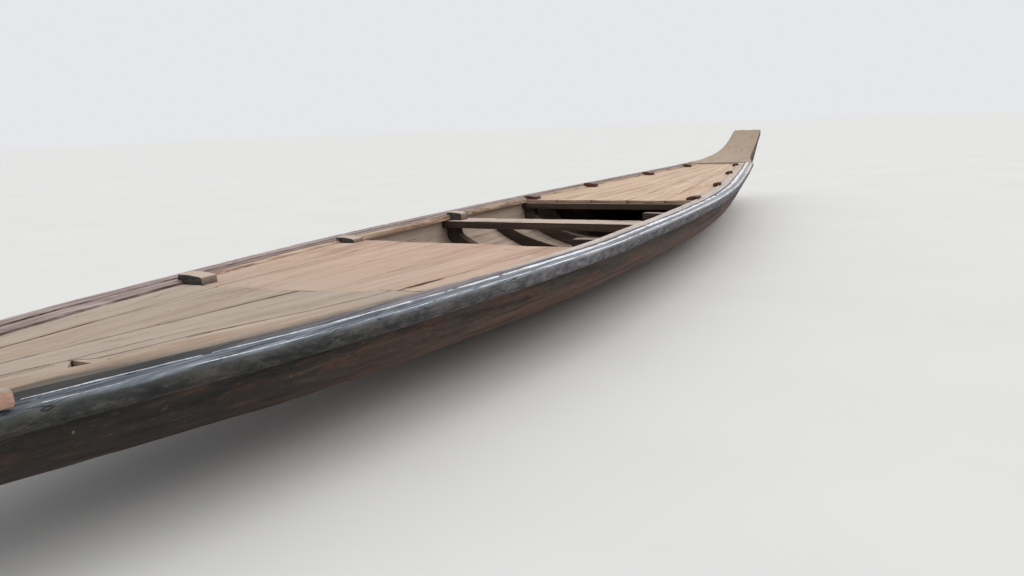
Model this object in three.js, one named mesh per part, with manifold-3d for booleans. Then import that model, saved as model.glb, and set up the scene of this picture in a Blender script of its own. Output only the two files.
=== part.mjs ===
// A seven-metre dugout canoe of the river type, stored ashore on its flattened bottom.
// Millimetres, +Z up. X runs along the boat with the bow at +X, port is +Y, starboard is -Y.
// The origin is on the ground under the middle of the boat.

import * as THREE from 'three';
import { mergeVertices } from 'three/addons/utils/BufferGeometryUtils.js';
import Module from 'manifold-3d';

const wasm = await Module();
wasm.setup();

// Driving dimensions
const LENGTH = 7000;
const RAIL_HEIGHT = 276;          // top of the wale amidships, above the ground
const SEAT_GAP = 0.3;             // between pieces that touch
const STRAKE_GAP = 0.5;           // between the long strakes and the log
const STATION_STEP = 100;

// The lines of the boat. 'log' is the half-breadth of the dugout at its rim, 'rise' is how far
// the rail lies above its height amidships, 'keel' is the height of the bottom above the ground
// and 'full' is the fullness of the bilge, low where the sides run slack into the bottom.
const STATIONS = [
  { x: -3490, log: 92, rise: 60, keel: 356, full: 0.38 },
  { x: -3250, log: 122, rise: 46, keel: 250, full: 0.38 },
  { x: -3000, log: 152, rise: 32, keel: 181, full: 0.38 },
  { x: -2760, log: 184, rise: 20, keel: 150, full: 0.37 },
  { x: -2450, log: 236, rise: 11, keel: 124, full: 0.36 },
  { x: -1900, log: 350, rise: 4, keel: 78, full: 0.32 },
  { x: -1000, log: 453, rise: 0, keel: 22, full: 0.26 },
  { x: -450, log: 466, rise: 0, keel: 0, full: 0.28 },
  { x: -100, log: 466, rise: 0, keel: 0, full: 0.31 },
  { x: 500, log: 448, rise: 1, keel: 0, full: 0.36 },
  { x: 1000, log: 406, rise: 5, keel: 0, full: 0.4 },
  { x: 1500, log: 341, rise: 12, keel: 9, full: 0.42 },
  { x: 2000, log: 268, rise: 20, keel: 27, full: 0.43 },
  { x: 2400, log: 206, rise: 28, keel: 46, full: 0.43 },
  { x: 2600, log: 178, rise: 34, keel: 62, full: 0.43 },
  { x: 2800, log: 152, rise: 40, keel: 98, full: 0.43 },
  { x: 3050, log: 122, rise: 50, keel: 180, full: 0.43 },
  { x: 3280, log: 103, rise: 60, keel: 286, full: 0.43 },
  { x: 3490, log: 88, rise: 70, keel: 405, full: 0.43 },
];

// Tops and half-breadths of the carved platforms at the ends, 'top' above the rail amidships
const BOW_PLATFORM = [
  { x: 2530, half: 222, top: 33 },
  { x: 2640, half: 205, top: 38 },
  { x: 2800, half: 165, top: 48 },
  { x: 3050, half: 128, top: 78 },
  { x: 3280, half: 110, top: 132 },
  { x: LENGTH / 2, half: 99, top: 221 },
];
const STERN_PLATFORM = [
  { x: -LENGTH / 2, half: 108, top: 168 },
  { x: -3280, half: 124, top: 102 },
  { x: -3050, half: 150, top: 48 },
  { x: -2875, half: 192, top: 14 },
];
const PLATFORM_THICK = 45;
const PLATFORM_ROUND = 7;
const STERN_CORNER = 105;         // how far the stern platform's front edge falls back at its corners,
const STERN_CORNER_POWER = 2.4;   // and how late along the edge it does so
const LOG_SHORT = 12;             // the log ends this far inside the platforms' ends
const TOP_STEP = 0.5;             // length of each step in the log's top

// Cross-section of the dugout shell
const FLARE = 0.06;               // the sides lean in this much going down from the rim
const FLARE_DEPTH = 90;
const OUTER_FLAT = 95;            // half-width of the flattened bottom
const RIM_THICK = 30;
const FLOOR_THICK = 42;
const RIM_SHOULDER = 11;
const RIM_BELOW_RAIL = 2;
const HOLLOW_STERN = -3010;
const HOLLOW_BOW = 2531;
const BULKHEAD_RUN = 110;         // the hollow's ends rise over this length
const BULKHEAD_SHARE = 0.62;      // what is left of the depth at the very end
const CLOSE_STERN = -2800;        // beyond these two the hollow's stations stand closer together
const CLOSE_BOW = 2300;
const BILGE_STEPS = 7;
const OUTER_FLARE_SHARE = 0.5;    // the flare's foot stays above this share of a shallow section
const NARROW_FLAT_SHARE = 0.24;   // flat of the bottom where the log narrows, by half-breadth
const FLOOR_FLAT_SHARE = 0.8;     // flat of the hollow's floor, by the flat outside

// Strakes along the gunwale
const WALE_WIDE = 50;
const WALE_DEEP = 42;
const WALE_ROUND = 9;
const INWALE_WIDE = 25;
const INWALE_DEEP = 21.5;        // thin enough for the thwarts to pass under it
const BOW_BUTT = 2530;            // where the strakes end against the bow platform

// Cross board at the stern, which lies across the gunwales; the strakes end with it
const CROSS_BOARD_START = -2531;
const CROSS_BOARD_END = -2860;
const CROSS_BOARD_THICK = 30;
const CROSS_BOARD_ROUND = 6;

// Thwarts, the ribs under them and the ribs between. A thwart has carved heads at its ends, which
// stand up through the boards and lap over the inwale.
const THWART_THICK = 28;
const HEAD_WIDE = 54;
const HEAD_LAP = 20;              // how far a head reaches outboard over the inwale
const HEAD_CORNER = 5;            // its top corners are cut back by this
const HEAD_FALL = 4;              // and its crest falls by this towards the inboard end
const RIB_SIDED = 44;
const RIB_SIDE_MOULD = 48;
const RIB_FLOOR_MOULD = 52;
const RIB_CLEAR = 0.6;
const RIB_FLOOR_SHARE = 0.6;      // a low rib is no thicker on the floor than this share of its height
const MID_RIB_BELOW_RAIL = 78;
// Ribs between the thwarts. 'knee' is how far the knee at the starboard end reaches inboard.
const MID_RIBS = [
  { x: -2060, knee: 0 },
  { x: -1327, knee: 0 },
  { x: -604, knee: 172 },
  { x: 150, knee: 172 },
  { x: 765, knee: 0 },
  { x: 1420, knee: 0 },
  { x: 2075, knee: 0 },
];
const KNEE_BELOW_RAIL = 31;
const KNEE_NOSE = 26;             // depth of the knee's blunt inboard end
const KNEE_DEEP = 89;             // depth of the knee at the wall
const KNEE_BED = 30;              // how far it overlaps the rib's arm
const KNEE_CHIN = 20;             // the blunt end's lower corner is cut back by this and by
const KNEE_CHIN_DROP = 12;        // this much
// 'wide' is the thwart's width, 'port' and 'starboard' how far the head at that end reaches
// inboard of the inwale, and 'high' how far the heads stand above the rail
const FRAMES = [
  { number: 0, x: -2440, wide: 80, port: 0, starboard: 0, high: 0 },
  { number: 1, x: -1687, wide: 80, port: 62, starboard: 0, high: 16 },
  { number: 2, x: -967, wide: 80, port: 54, starboard: 0, high: 9 },
  { number: 3, x: -240, wide: 115, port: 50, starboard: 0, high: 9 },
  { number: 4, x: 445, wide: 80, port: 44, starboard: 36, high: 10 },
  { number: 5, x: 1070, wide: 80, port: 40, starboard: 16, high: 14 },
  { number: 6, x: 1775, wide: 80, port: 36, starboard: 14, high: 12 },
  { number: 7, x: 2350, wide: 80, port: 24, starboard: 12, high: 11 },
];
const BARE_THWART = 3;            // it carries no boards: its top is one flat seat
const SHOULDER_BACK = 3;          // its seat ends this far inboard of the inwales, and its ends are
const SHOULDER_DROP = 0.8;        // let down by this under them,
const SHOULDER_FALL = 0.8;        // and by this more at the shell
const NOTCH_HIGH = 200;           // height of the tools that cut the boards round the heads

// Loose boards. Each seam gives its y at the aft end and at the forward end of its bay.
const BOARD_THICK = 14;
const BOARD_BELOW_RAIL = 8;
const BOARD_GAP = 3;              // half on each side of a seam
const LIFT_GAP = 7;               // between a loose board and a fixed piece beside it
const BAYS = [
  { name: 'aft', from: -2525, to: -1670, seams: [[104, 211], [41, -32], [-19, -243]] },
  { name: 'mid', from: -1664, to: -928, seams: [[215, 235], [70, 60], [-85, -110], [-254, -345]] },
  { name: 'fore', from: 412, to: 2520, seams: [[245, 40], [73, -22], [-98, -66], [-270, -100]] },
];

// Colours
const COLOURS = {
  hull: '#4a372d',
  wale: '#6f7078',
  inwale: '#83614f',
  rib: '#4b3d34',
  thwart: '#5a4638',
  platform: '#b5a48e',
  cross: '#97897e',
  aft: '#bbac96',
  mid: '#c8a58c',
  fore: '#cdaf96',
};

const SIDES = [
  { name: 'port', sign: 1 },
  { name: 'starboard', sign: -1 },
];

const boat = new THREE.Group();

// Smooth value of one column of a table at x, by cubic pieces through its rows
function smooth(table, column, x) {
  const last = table.length - 1;
  let row = 0;
  while (row < last - 1 && x > table[row + 1].x) row += 1;
  const slopeAt = (i) => {
    const a = table[Math.max(i - 1, 0)];
    const b = table[Math.min(i + 1, last)];
    return (b[column] - a[column]) / (b.x - a.x);
  };
  const from = table[row];
  const to = table[row + 1];
  const span = to.x - from.x;
  const t = (x - from.x) / span;
  const t2 = t * t;
  const t3 = t2 * t;
  return (2 * t3 - 3 * t2 + 1) * from[column]
    + (t3 - 2 * t2 + t) * span * slopeAt(row)
    + (3 * t2 - 2 * t3) * to[column]
    + (t3 - t2) * span * slopeAt(row + 1);
}

const railZ = (x) => RAIL_HEIGHT + smooth(STATIONS, 'rise', x);
const logHalf = (x) => smooth(STATIONS, 'log', x);
const waleEdge = (x) => logHalf(x) + STRAKE_GAP + WALE_WIDE;
const inwaleFace = (x) => logHalf(x) - RIM_THICK - STRAKE_GAP - INWALE_WIDE;

const boardTop = (x) => railZ(x) - BOARD_BELOW_RAIL;
const thwartTop = (x) => boardTop(x) - BOARD_THICK - SEAT_GAP;

// Bottom of the log, flat on the ground amidships
const keelZ = (x) => Math.max(smooth(STATIONS, 'keel', x), 0);

function platformUnderside(x) {
  const table = x > 0 ? BOW_PLATFORM : STERN_PLATFORM;
  return RAIL_HEIGHT + smooth(table, 'top', x) - PLATFORM_THICK - SEAT_GAP;
}

// Top of the log: the rim amidships, let down under the platforms
function logTop(x) {
  if (x > BOW_BUTT || x < CROSS_BOARD_END) return platformUnderside(x);
  return railZ(x) - RIM_BELOW_RAIL;
}

// Stations from a to b: both ends, and the marks of one shared grid between them, so that
// long pieces that lie along each other bend at the same places
function stationsBetween(a, b, step = STATION_STEP) {
  const marks = [];
  for (let x = Math.ceil(a / step) * step; x < b; x += step) {
    if (x - a > step * 0.1 && b - x > step * 0.1) marks.push(x);
  }
  return [a, ...marks, b];
}

// Triangles that fill a ring of an even count, rung by rung between point i and its
// partner count - 1 - i, turning the same way as the ring
function ladderTriangles(count) {
  const triangles = [];
  for (let i = 0; i < count / 2 - 1; i += 1) {
    const partner = count - 1 - i;
    triangles.push([i, i + 1, partner - 1], [i, partner - 1, partner]);
  }
  return triangles;
}

// Closed body through rings of points, all with the same count and sense
function loft(rings) {
  const count = rings[0].length;
  const positions = rings.flat().flatMap((p) => [p.x, p.y, p.z]);
  const index = [];
  for (let r = 0; r < rings.length - 1; r += 1) {
    for (let i = 0; i < count; i += 1) {
      const j = (i + 1) % count;
      const a = r * count + i;
      const b = r * count + j;
      const c = (r + 1) * count + j;
      const d = (r + 1) * count + i;
      index.push(a, b, c, a, c, d);
    }
  }
  const lastStart = (rings.length - 1) * count;
  for (const [a, b, c] of ladderTriangles(count)) {
    index.push(a, c, b);
    index.push(lastStart + a, lastStart + b, lastStart + c);
  }
  const geometry = new THREE.BufferGeometry();
  geometry.setAttribute('position', new THREE.Float32BufferAttribute(positions, 3));
  geometry.setIndex(index);
  return turnedOut(geometry);
}

// The same body with its faces pointing out, whichever way its triangles were wound
function turnedOut(geometry) {
  const p = geometry.getAttribute('position');
  const index = geometry.getIndex().array;
  const a = new THREE.Vector3();
  const b = new THREE.Vector3();
  const c = new THREE.Vector3();
  let volume = 0;
  for (let i = 0; i < index.length; i += 3) {
    a.fromBufferAttribute(p, index[i]);
    b.fromBufferAttribute(p, index[i + 1]);
    c.fromBufferAttribute(p, index[i + 2]);
    volume += a.dot(b.cross(c));
  }
  if (volume > 0) return geometry;
  const flipped = [];
  for (let i = 0; i < index.length; i += 3) {
    flipped.push(index[i], index[i + 2], index[i + 1]);
  }
  geometry.setIndex(flipped);
  return geometry;
}

function toSolid(geometry) {
  const bare = geometry.clone();
  bare.deleteAttribute('normal');
  bare.deleteAttribute('uv');
  const merged = mergeVertices(bare, 1e-3);
  return new wasm.Manifold(new wasm.Mesh({
    numProp: 3,
    vertProperties: new Float32Array(merged.getAttribute('position').array),
    triVerts: new Uint32Array(merged.getIndex().array),
  }));
}

function toGeometry(solid) {
  const mesh = solid.getMesh();
  const geometry = new THREE.BufferGeometry();
  geometry.setAttribute('position', new THREE.BufferAttribute(mesh.vertProperties, 3));
  geometry.setIndex(new THREE.BufferAttribute(mesh.triVerts, 1));
  return geometry;
}

function addMesh(name, geometry, colour, roughness = 0.85) {
  geometry.computeVertexNormals();
  const material = new THREE.MeshStandardMaterial({ color: colour, roughness, metalness: 0 });
  const mesh = new THREE.Mesh(geometry, material);
  mesh.name = name;
  boat.add(mesh);
}

// One side of a shell section, from the flare's foot down to the edge of the flat bottom
function bilge(x, sideHalf, sideZ, bottomHalf, bottomZ) {
  const full = smooth(STATIONS, 'full', x);
  const down = (sideZ - bottomZ) * full;
  const across = (sideHalf - bottomHalf) * full;
  const curve = new THREE.CubicBezierCurve(
    new THREE.Vector2(sideHalf, sideZ),
    new THREE.Vector2(sideHalf - down * FLARE, sideZ - down),
    new THREE.Vector2(bottomHalf + across, bottomZ),
    new THREE.Vector2(bottomHalf, bottomZ));
  return curve.getPoints(BILGE_STEPS);
}

// The whole ring, port side first, from the half-section given as (half-breadth, height) points
function mirroredRing(x, halfSection) {
  const port = halfSection.map((p) => new THREE.Vector3(x, p.x, p.y));
  const starboard = halfSection.map((p) => new THREE.Vector3(x, -p.x, p.y)).reverse();
  return [...port, ...starboard];
}

function outerRing(x, topZ) {
  const half = logHalf(x);
  const bottom = keelZ(x);
  const edge = topZ - RIM_SHOULDER;
  const footZ = Math.max(railZ(x) - FLARE_DEPTH, bottom + (edge - bottom) * OUTER_FLARE_SHARE);
  const foot = half - (edge - footZ) * FLARE;
  const flat = Math.min(OUTER_FLAT, half * NARROW_FLAT_SHARE);
  return mirroredRing(x, [
    new THREE.Vector2(half - RIM_SHOULDER, topZ),
    new THREE.Vector2(half, edge),
    ...bilge(x, foot, Math.min(footZ, edge - 1), flat, bottom),
  ]);
}

// Hollow of the dugout: open at the top, shallower towards its two ends
function hollowRing(x) {
  const fromEnd = Math.min(x - HOLLOW_STERN, HOLLOW_BOW - x);
  const run = Math.min(1, fromEnd / BULKHEAD_RUN);
  const share = BULKHEAD_SHARE + (1 - BULKHEAD_SHARE) * Math.sqrt(1 - (1 - run) ** 2);
  const half = logHalf(x) - RIM_THICK;
  const rim = railZ(x);
  const depth = (rim - keelZ(x) - FLOOR_THICK) * share;
  const flareDepth = Math.min(FLARE_DEPTH, depth - 12);
  const foot = half - flareDepth * FLARE;
  const flat = FLOOR_FLAT_SHARE * Math.min(OUTER_FLAT, half * NARROW_FLAT_SHARE);
  return mirroredRing(x, [
    new THREE.Vector2(half, rim + PLATFORM_THICK),
    new THREE.Vector2(half, rim),
    ...bilge(x, foot, rim - flareDepth, flat, rim - depth),
  ]);
}

function makeHull() {
  const logEnd = LENGTH / 2 - LOG_SHORT;
  const steps = [-logEnd, CROSS_BOARD_END, BOW_BUTT, logEnd];
  const xs = [];
  steps.slice(0, -1).forEach((from, i) => {
    const stretch = stationsBetween(from + TOP_STEP / 2, steps[i + 1] - TOP_STEP / 2);
    xs.push(...stretch);
  });
  const outer = toSolid(loft(xs.map((x) => outerRing(x, logTop(x)))));
  const hollowXs = [
    ...stationsBetween(HOLLOW_STERN, CLOSE_STERN, STATION_STEP / 2),
    ...stationsBetween(CLOSE_STERN, CLOSE_BOW).slice(1, -1),
    ...stationsBetween(CLOSE_BOW, HOLLOW_BOW, STATION_STEP / 2),
  ];
  const hollow = toSolid(loft(hollowXs.map(hollowRing)));
  addMesh('hull', toGeometry(outer.subtract(hollow)), COLOURS.hull, 0.9);
}

// Rubbing wale outside the rim, its outer edges rounded off
function makeWale(side) {
  const rings = stationsBetween(CROSS_BOARD_END + SEAT_GAP, BOW_BUTT - SEAT_GAP).map((x) => {
    const inner = logHalf(x) + STRAKE_GAP;
    const outer = waleEdge(x);
    const top = railZ(x);
    const under = top - WALE_DEEP;
    return [
      [inner, under], [inner, top - 2], [inner + 2, top],
      [outer - WALE_ROUND / 2, top], [outer, top - WALE_ROUND],
      [outer, under + WALE_ROUND], [outer - WALE_ROUND, under], [inner + 4, under],
    ].map(([y, z]) => new THREE.Vector3(x, side.sign * y, z));
  });
  addMesh(`wale_${side.name}`, loft(rings), COLOURS.wale);
}

// Inwale on edge inside the rim
function makeInwale(side) {
  const rings = stationsBetween(CROSS_BOARD_END + SEAT_GAP, BOW_BUTT - SEAT_GAP).map((x) => {
    const outer = logHalf(x) - RIM_THICK - STRAKE_GAP;
    const inner = inwaleFace(x);
    const top = railZ(x);
    const lean = INWALE_DEEP * FLARE;
    return [
      [outer, top - 3], [outer - 3, top], [inner + 5, top],
      [inner, top - 5], [inner - lean, top - INWALE_DEEP], [outer - lean, top - INWALE_DEEP],
    ].map(([y, z]) => new THREE.Vector3(x, side.sign * y, z));
  });
  addMesh(`inwale_${side.name}`, loft(rings), COLOURS.inwale);
}

// Thwart: a plank from wall to wall under the inwales and boards, with its carved heads
function makeThwart(frame) {
  const bare = frame.number === BARE_THWART;
  const edges = [frame.x - frame.wide / 2, frame.x + frame.wide / 2];
  const seat = Math.min(...edges.map(inwaleFace)) - INWALE_DEEP * FLARE - SHOULDER_BACK;
  const outline = edges.map((x) => {
    const top = thwartTop(bare ? frame.x : x);
    const under = top - THWART_THICK;
    const end = (z) => {
      const reach = logHalf(x) - RIM_THICK - (railZ(x) - z) * FLARE - STRAKE_GAP;
      return new THREE.Vector2(reach, z);
    };
    if (!bare) return mirroredRing(x, [end(top), end(under)]);
    return mirroredRing(x, [
      new THREE.Vector2(seat, top),
      new THREE.Vector2(seat, top - SHOULDER_DROP),
      end(top - SHOULDER_DROP - SHOULDER_FALL),
      end(under),
    ]);
  });
  let solid = toSolid(loft(outline));
  SIDES.filter((side) => frame[side.name]).forEach((side) => {
    solid = solid.add(toSolid(headGeometry(frame, side)));
  });
  addMesh(`thwart_${frame.number}`, toGeometry(solid), COLOURS.thwart);
}

// One head: its section across the boat, swept over its width along the boat
function headGeometry(frame, side) {
  const ends = [frame.x - HEAD_WIDE / 2, frame.x + HEAD_WIDE / 2];
  const foot = thwartTop(frame.x) - 5;
  const top = railZ(frame.x) + frame.high;
  const inner = Math.min(...ends.map(inwaleFace)) - frame[side.name];
  const low = top - HEAD_FALL;
  return loft(ends.map((end) => {
    const face = inwaleFace(end) - (railZ(end) - foot) * FLARE - STRAKE_GAP;
    const lap = railZ(end) + STRAKE_GAP;
    const outer = inwaleFace(end) + HEAD_LAP;
    const section = [
      [face, foot], [face, lap], [outer, lap], [outer - HEAD_CORNER, top],
      [(outer + inner) / 2, top], [inner + HEAD_CORNER, low],
      [inner, low - HEAD_CORNER], [inner, foot],
    ].map(([y, z]) => new THREE.Vector3(end, y * side.sign, z));
    return side.sign > 0 ? section : section.reverse();
  }));
}

// Rib: a U that follows the inside of the shell, thicker on the floor than up the sides
function makeRib(name, x, topZ, knee = 0) {
  const ends = [x - RIB_SIDED / 2, x + RIB_SIDED / 2];
  const rings = ends.map((end) => {
    const high = topZ - keelZ(end) - FLOOR_THICK;
    const floorMould = Math.min(RIB_FLOOR_MOULD, high * RIB_FLOOR_SHARE);
    const outside = wallPath(end, topZ, RIB_CLEAR, RIB_CLEAR);
    const inside = wallPath(end, topZ, RIB_SIDE_MOULD, floorMould);
    return [...outside, ...inside.reverse()];
  });
  if (!knee) return addMesh(name, loft(rings), COLOURS.rib);
  const solid = toSolid(loft(rings)).add(toSolid(kneeGeometry(ends, knee)));
  return addMesh(name, toGeometry(solid), COLOURS.rib);
}

// Knee on the starboard arm of a rib, against the shell: flat on top, blunt inboard, and
// running down into the arm
function kneeGeometry(ends, knee) {
  return loft(ends.map((end) => {
    const wall = (below) => logHalf(end) - RIM_THICK - below * FLARE - RIB_CLEAR;
    return [
      [wall(KNEE_BELOW_RAIL), KNEE_BELOW_RAIL],
      [wall(KNEE_DEEP), KNEE_DEEP],
      [wall(KNEE_DEEP) - KNEE_BED, KNEE_DEEP],
      [wall(KNEE_BELOW_RAIL) - knee + KNEE_CHIN, KNEE_BELOW_RAIL + KNEE_NOSE + KNEE_CHIN_DROP],
      [wall(KNEE_BELOW_RAIL) - knee, KNEE_BELOW_RAIL + KNEE_NOSE],
      [wall(KNEE_BELOW_RAIL) - knee, KNEE_BELOW_RAIL],
    ].map(([half, below]) => new THREE.Vector3(end, -half, railZ(end) - below));
  }));
}

// The inside of the shell from port to starboard, below topZ, set in by side and by floor
function wallPath(x, topZ, side, floor) {
  const ring = hollowRing(x).slice(1, -1);
  const low = Math.min(...ring.map((p) => p.z));
  const rim = railZ(x);
  const port = ring.slice(0, ring.length / 2);
  const down = port.map((p) => {
    const share = (p.z - low) / (rim - low);
    const half = p.y * (1 - side / port[0].y);
    return new THREE.Vector2(half, p.z + floor * (1 - share));
  });
  const cut = down.findIndex((p) => p.y < topZ);
  const above = down[cut - 1];
  const below = down[cut];
  const t = (above.y - topZ) / (above.y - below.y);
  const start = new THREE.Vector2(above.x + (below.x - above.x) * t, topZ);
  return mirroredRing(x, [start, ...down.slice(cut)]);
}

// Boards of a bay, fanned between straight seams; the outer edges follow the inwales
// and are notched round the heads of the thwarts
function makeBoards(bay) {
  const seamY = (seam, x) => seam[0] + (seam[1] - seam[0]) * (x - bay.from) / (bay.to - bay.from);
  const edgeY = (x) => inwaleFace(x) - LIFT_GAP;
  const count = bay.seams.length + 1;
  const [portRooms, starboardRooms] = SIDES.map((side) => FRAMES
    .filter((frame) => frame[side.name]).map((frame) => headRoom(frame, side)));
  for (let i = 0; i < count; i += 1) {
    const portSeam = bay.seams[i - 1];
    const starboardSeam = bay.seams[i];
    const rings = stationsBetween(bay.from, bay.to).map((x) => {
      const port = portSeam ? seamY(portSeam, x) - BOARD_GAP / 2 : edgeY(x);
      const starboard = starboardSeam ? seamY(starboardSeam, x) + BOARD_GAP / 2 : -edgeY(x);
      const top = boardTop(x);
      const under = top - BOARD_THICK;
      return [[port, top], [port, under], [starboard, under], [starboard, top]]
        .map(([y, z]) => new THREE.Vector3(x, y, z));
    });
    let solid = toSolid(loft(rings));
    const cuts = i === count - 1 ? starboardRooms : portRooms;
    cuts.forEach((cut) => {
      solid = solid.subtract(cut);
    });
    addMesh(`board_${bay.name}_${i + 1}`, toGeometry(solid), COLOURS[bay.name]);
  }
}

// Room for a head in the boards, with a clearance round it
function headRoom(frame, side) {
  const inner = inwaleFace(frame.x) - frame[side.name] - 2 * LIFT_GAP;
  const outer = waleEdge(frame.x);
  const room = new THREE.BoxGeometry(HEAD_WIDE + 2 * LIFT_GAP, outer - inner, NOTCH_HIGH);
  room.translate(frame.x, side.sign * (inner + outer) / 2, railZ(frame.x));
  return toSolid(room);
}

// Stern cross board, flat on the gunwales, its ends flush with the outer faces of the wales
function makeCrossBoard() {
  const from = CROSS_BOARD_END + SEAT_GAP;
  const rings = stationsBetween(from, CROSS_BOARD_START - 2 * SEAT_GAP).map((x) => {
    const half = waleEdge(x);
    const under = railZ(x) + SEAT_GAP;
    const top = under + CROSS_BOARD_THICK;
    return mirroredRing(x, [
      new THREE.Vector2(half - CROSS_BOARD_ROUND, top),
      new THREE.Vector2(half, top - CROSS_BOARD_ROUND),
      new THREE.Vector2(half, under + CROSS_BOARD_ROUND),
      new THREE.Vector2(half - CROSS_BOARD_ROUND, under),
    ]);
  });
  addMesh('cross_board_stern', loft(rings), COLOURS.cross);
}

// Carved platform at one end, a slab that follows its table of tops and half-breadths
function platformSolid(table, from, to) {
  const rings = stationsBetween(from, to).map((x) => {
    const half = smooth(table, 'half', x);
    const top = RAIL_HEIGHT + smooth(table, 'top', x);
    const under = top - PLATFORM_THICK;
    return mirroredRing(x, [
      new THREE.Vector2(half - PLATFORM_ROUND, top),
      new THREE.Vector2(half, top - PLATFORM_ROUND),
      new THREE.Vector2(half, under + PLATFORM_ROUND),
      new THREE.Vector2(half - PLATFORM_ROUND, under),
    ]);
  });
  return toSolid(loft(rings));
}

function makePlatforms() {
  const end = LENGTH / 2;
  const bow = platformSolid(BOW_PLATFORM, BOW_BUTT + SEAT_GAP, end);
  addMesh('platform_bow', toGeometry(bow), COLOURS.platform);
  const stern = platformSolid(STERN_PLATFORM, -end, sternFront().x);
  addMesh('platform_stern', toGeometry(stern.subtract(sternFrontTool())), COLOURS.platform);
}

const sternFront = () => STERN_PLATFORM[STERN_PLATFORM.length - 1];

// Tool that bows the stern platform's front edge: full length on the middle line, falling
// back to the corners
function sternFrontTool() {
  const front = sternFront();
  const wide = front.half * 1.1;
  const steps = 10;
  const bowedEdge = Array.from({ length: steps + 1 }, (_, i) => {
    const y = wide * (2 * i / steps - 1);
    const back = STERN_CORNER * Math.abs(y / front.half) ** STERN_CORNER_POWER;
    return new THREE.Vector2(front.x - back, y);
  });
  const outline = new THREE.Shape([
    ...bowedEdge,
    new THREE.Vector2(front.x + wide, wide),
    new THREE.Vector2(front.x + wide, -wide),
  ]);
  const depth = RAIL_HEIGHT;
  const tool = new THREE.ExtrudeGeometry(outline, { depth, bevelEnabled: false });
  tool.translate(0, 0, depth / 2);
  return toSolid(tool);
}

makeHull();
SIDES.forEach((side) => {
  makeWale(side);
  makeInwale(side);
});
FRAMES.forEach(makeThwart);
FRAMES.forEach((frame) => {
  const ends = [frame.x - RIB_SIDED / 2, frame.x + RIB_SIDED / 2];
  const top = Math.min(...ends.map(thwartTop)) - THWART_THICK - SEAT_GAP;
  makeRib(`rib_${frame.number}`, frame.x, top);
});
MID_RIBS.forEach((rib, i) => {
  makeRib(`rib_between_${i}`, rib.x, railZ(rib.x) - MID_RIB_BELOW_RAIL, rib.knee);
});
makeCrossBoard();
makePlatforms();
BAYS.forEach(makeBoards);

export default boat;
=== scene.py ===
"""A weathered dugout canoe, parked ashore on its flattened bottom, in soft studio light."""

from math import cos, pi, radians, sin

import bmesh
import bpy
import numpy as np
from mathutils import Matrix, Vector


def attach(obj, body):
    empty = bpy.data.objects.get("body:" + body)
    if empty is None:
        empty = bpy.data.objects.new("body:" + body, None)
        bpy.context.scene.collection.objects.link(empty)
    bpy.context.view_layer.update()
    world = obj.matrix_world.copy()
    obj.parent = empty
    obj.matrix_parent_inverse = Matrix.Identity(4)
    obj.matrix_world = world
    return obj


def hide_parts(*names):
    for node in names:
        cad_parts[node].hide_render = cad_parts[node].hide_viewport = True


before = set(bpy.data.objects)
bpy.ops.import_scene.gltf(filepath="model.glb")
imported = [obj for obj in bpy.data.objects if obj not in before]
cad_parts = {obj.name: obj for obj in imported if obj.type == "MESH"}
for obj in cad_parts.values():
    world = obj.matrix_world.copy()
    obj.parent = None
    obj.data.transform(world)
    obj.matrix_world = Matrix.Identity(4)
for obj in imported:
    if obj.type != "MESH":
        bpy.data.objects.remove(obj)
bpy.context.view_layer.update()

# Lines of the boat, in metres: station, half-breadth of the log, rise of the rail above its
# height amidships, height of the bottom above the ground, fullness of the bilge
LOG, RISE, KEEL, FULL = 1, 2, 3, 4
STATIONS = np.array([
    (-3.490, 0.092, 0.060, 0.356, 0.38),
    (-3.250, 0.122, 0.046, 0.250, 0.38),
    (-3.000, 0.152, 0.032, 0.181, 0.38),
    (-2.760, 0.184, 0.020, 0.150, 0.37),
    (-2.450, 0.236, 0.011, 0.124, 0.36),
    (-1.900, 0.350, 0.004, 0.078, 0.32),
    (-1.000, 0.453, 0.000, 0.022, 0.26),
    (-0.450, 0.466, 0.000, 0.000, 0.28),
    (-0.100, 0.466, 0.000, 0.000, 0.31),
    (0.500, 0.448, 0.001, 0.000, 0.36),
    (1.000, 0.406, 0.005, 0.000, 0.40),
    (1.500, 0.341, 0.012, 0.009, 0.42),
    (2.000, 0.268, 0.020, 0.027, 0.43),
    (2.400, 0.206, 0.028, 0.046, 0.43),
    (2.600, 0.178, 0.034, 0.062, 0.43),
    (2.800, 0.152, 0.040, 0.098, 0.43),
    (3.050, 0.122, 0.050, 0.180, 0.43),
    (3.280, 0.103, 0.060, 0.286, 0.43),
    (3.490, 0.088, 0.070, 0.405, 0.43),
])

# Platforms at the ends: station, half-breadth, top above the rail amidships
HALF, TOP = 1, 2
BOW_PLATFORM = np.array([
    (2.530, 0.222, 0.033),
    (2.640, 0.205, 0.038),
    (2.800, 0.165, 0.048),
    (3.050, 0.128, 0.078),
    (3.280, 0.110, 0.132),
    (3.500, 0.099, 0.221),
])
STERN_PLATFORM = np.array([
    (-3.500, 0.108, 0.168),
    (-3.280, 0.124, 0.102),
    (-3.050, 0.150, 0.048),
    (-2.875, 0.192, 0.014),
])
# The stern platform's front corners are drawn back by STERN_CORNER, in a power of the breadth
PLATFORM_THICK = 0.045
PLATFORM_ROUND = 0.007
PLATFORM_ROWS = 60
PLATFORM_REACH = 3.5
STERN_CORNER = 0.105
STERN_CORNER_POWER = 2.4

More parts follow.
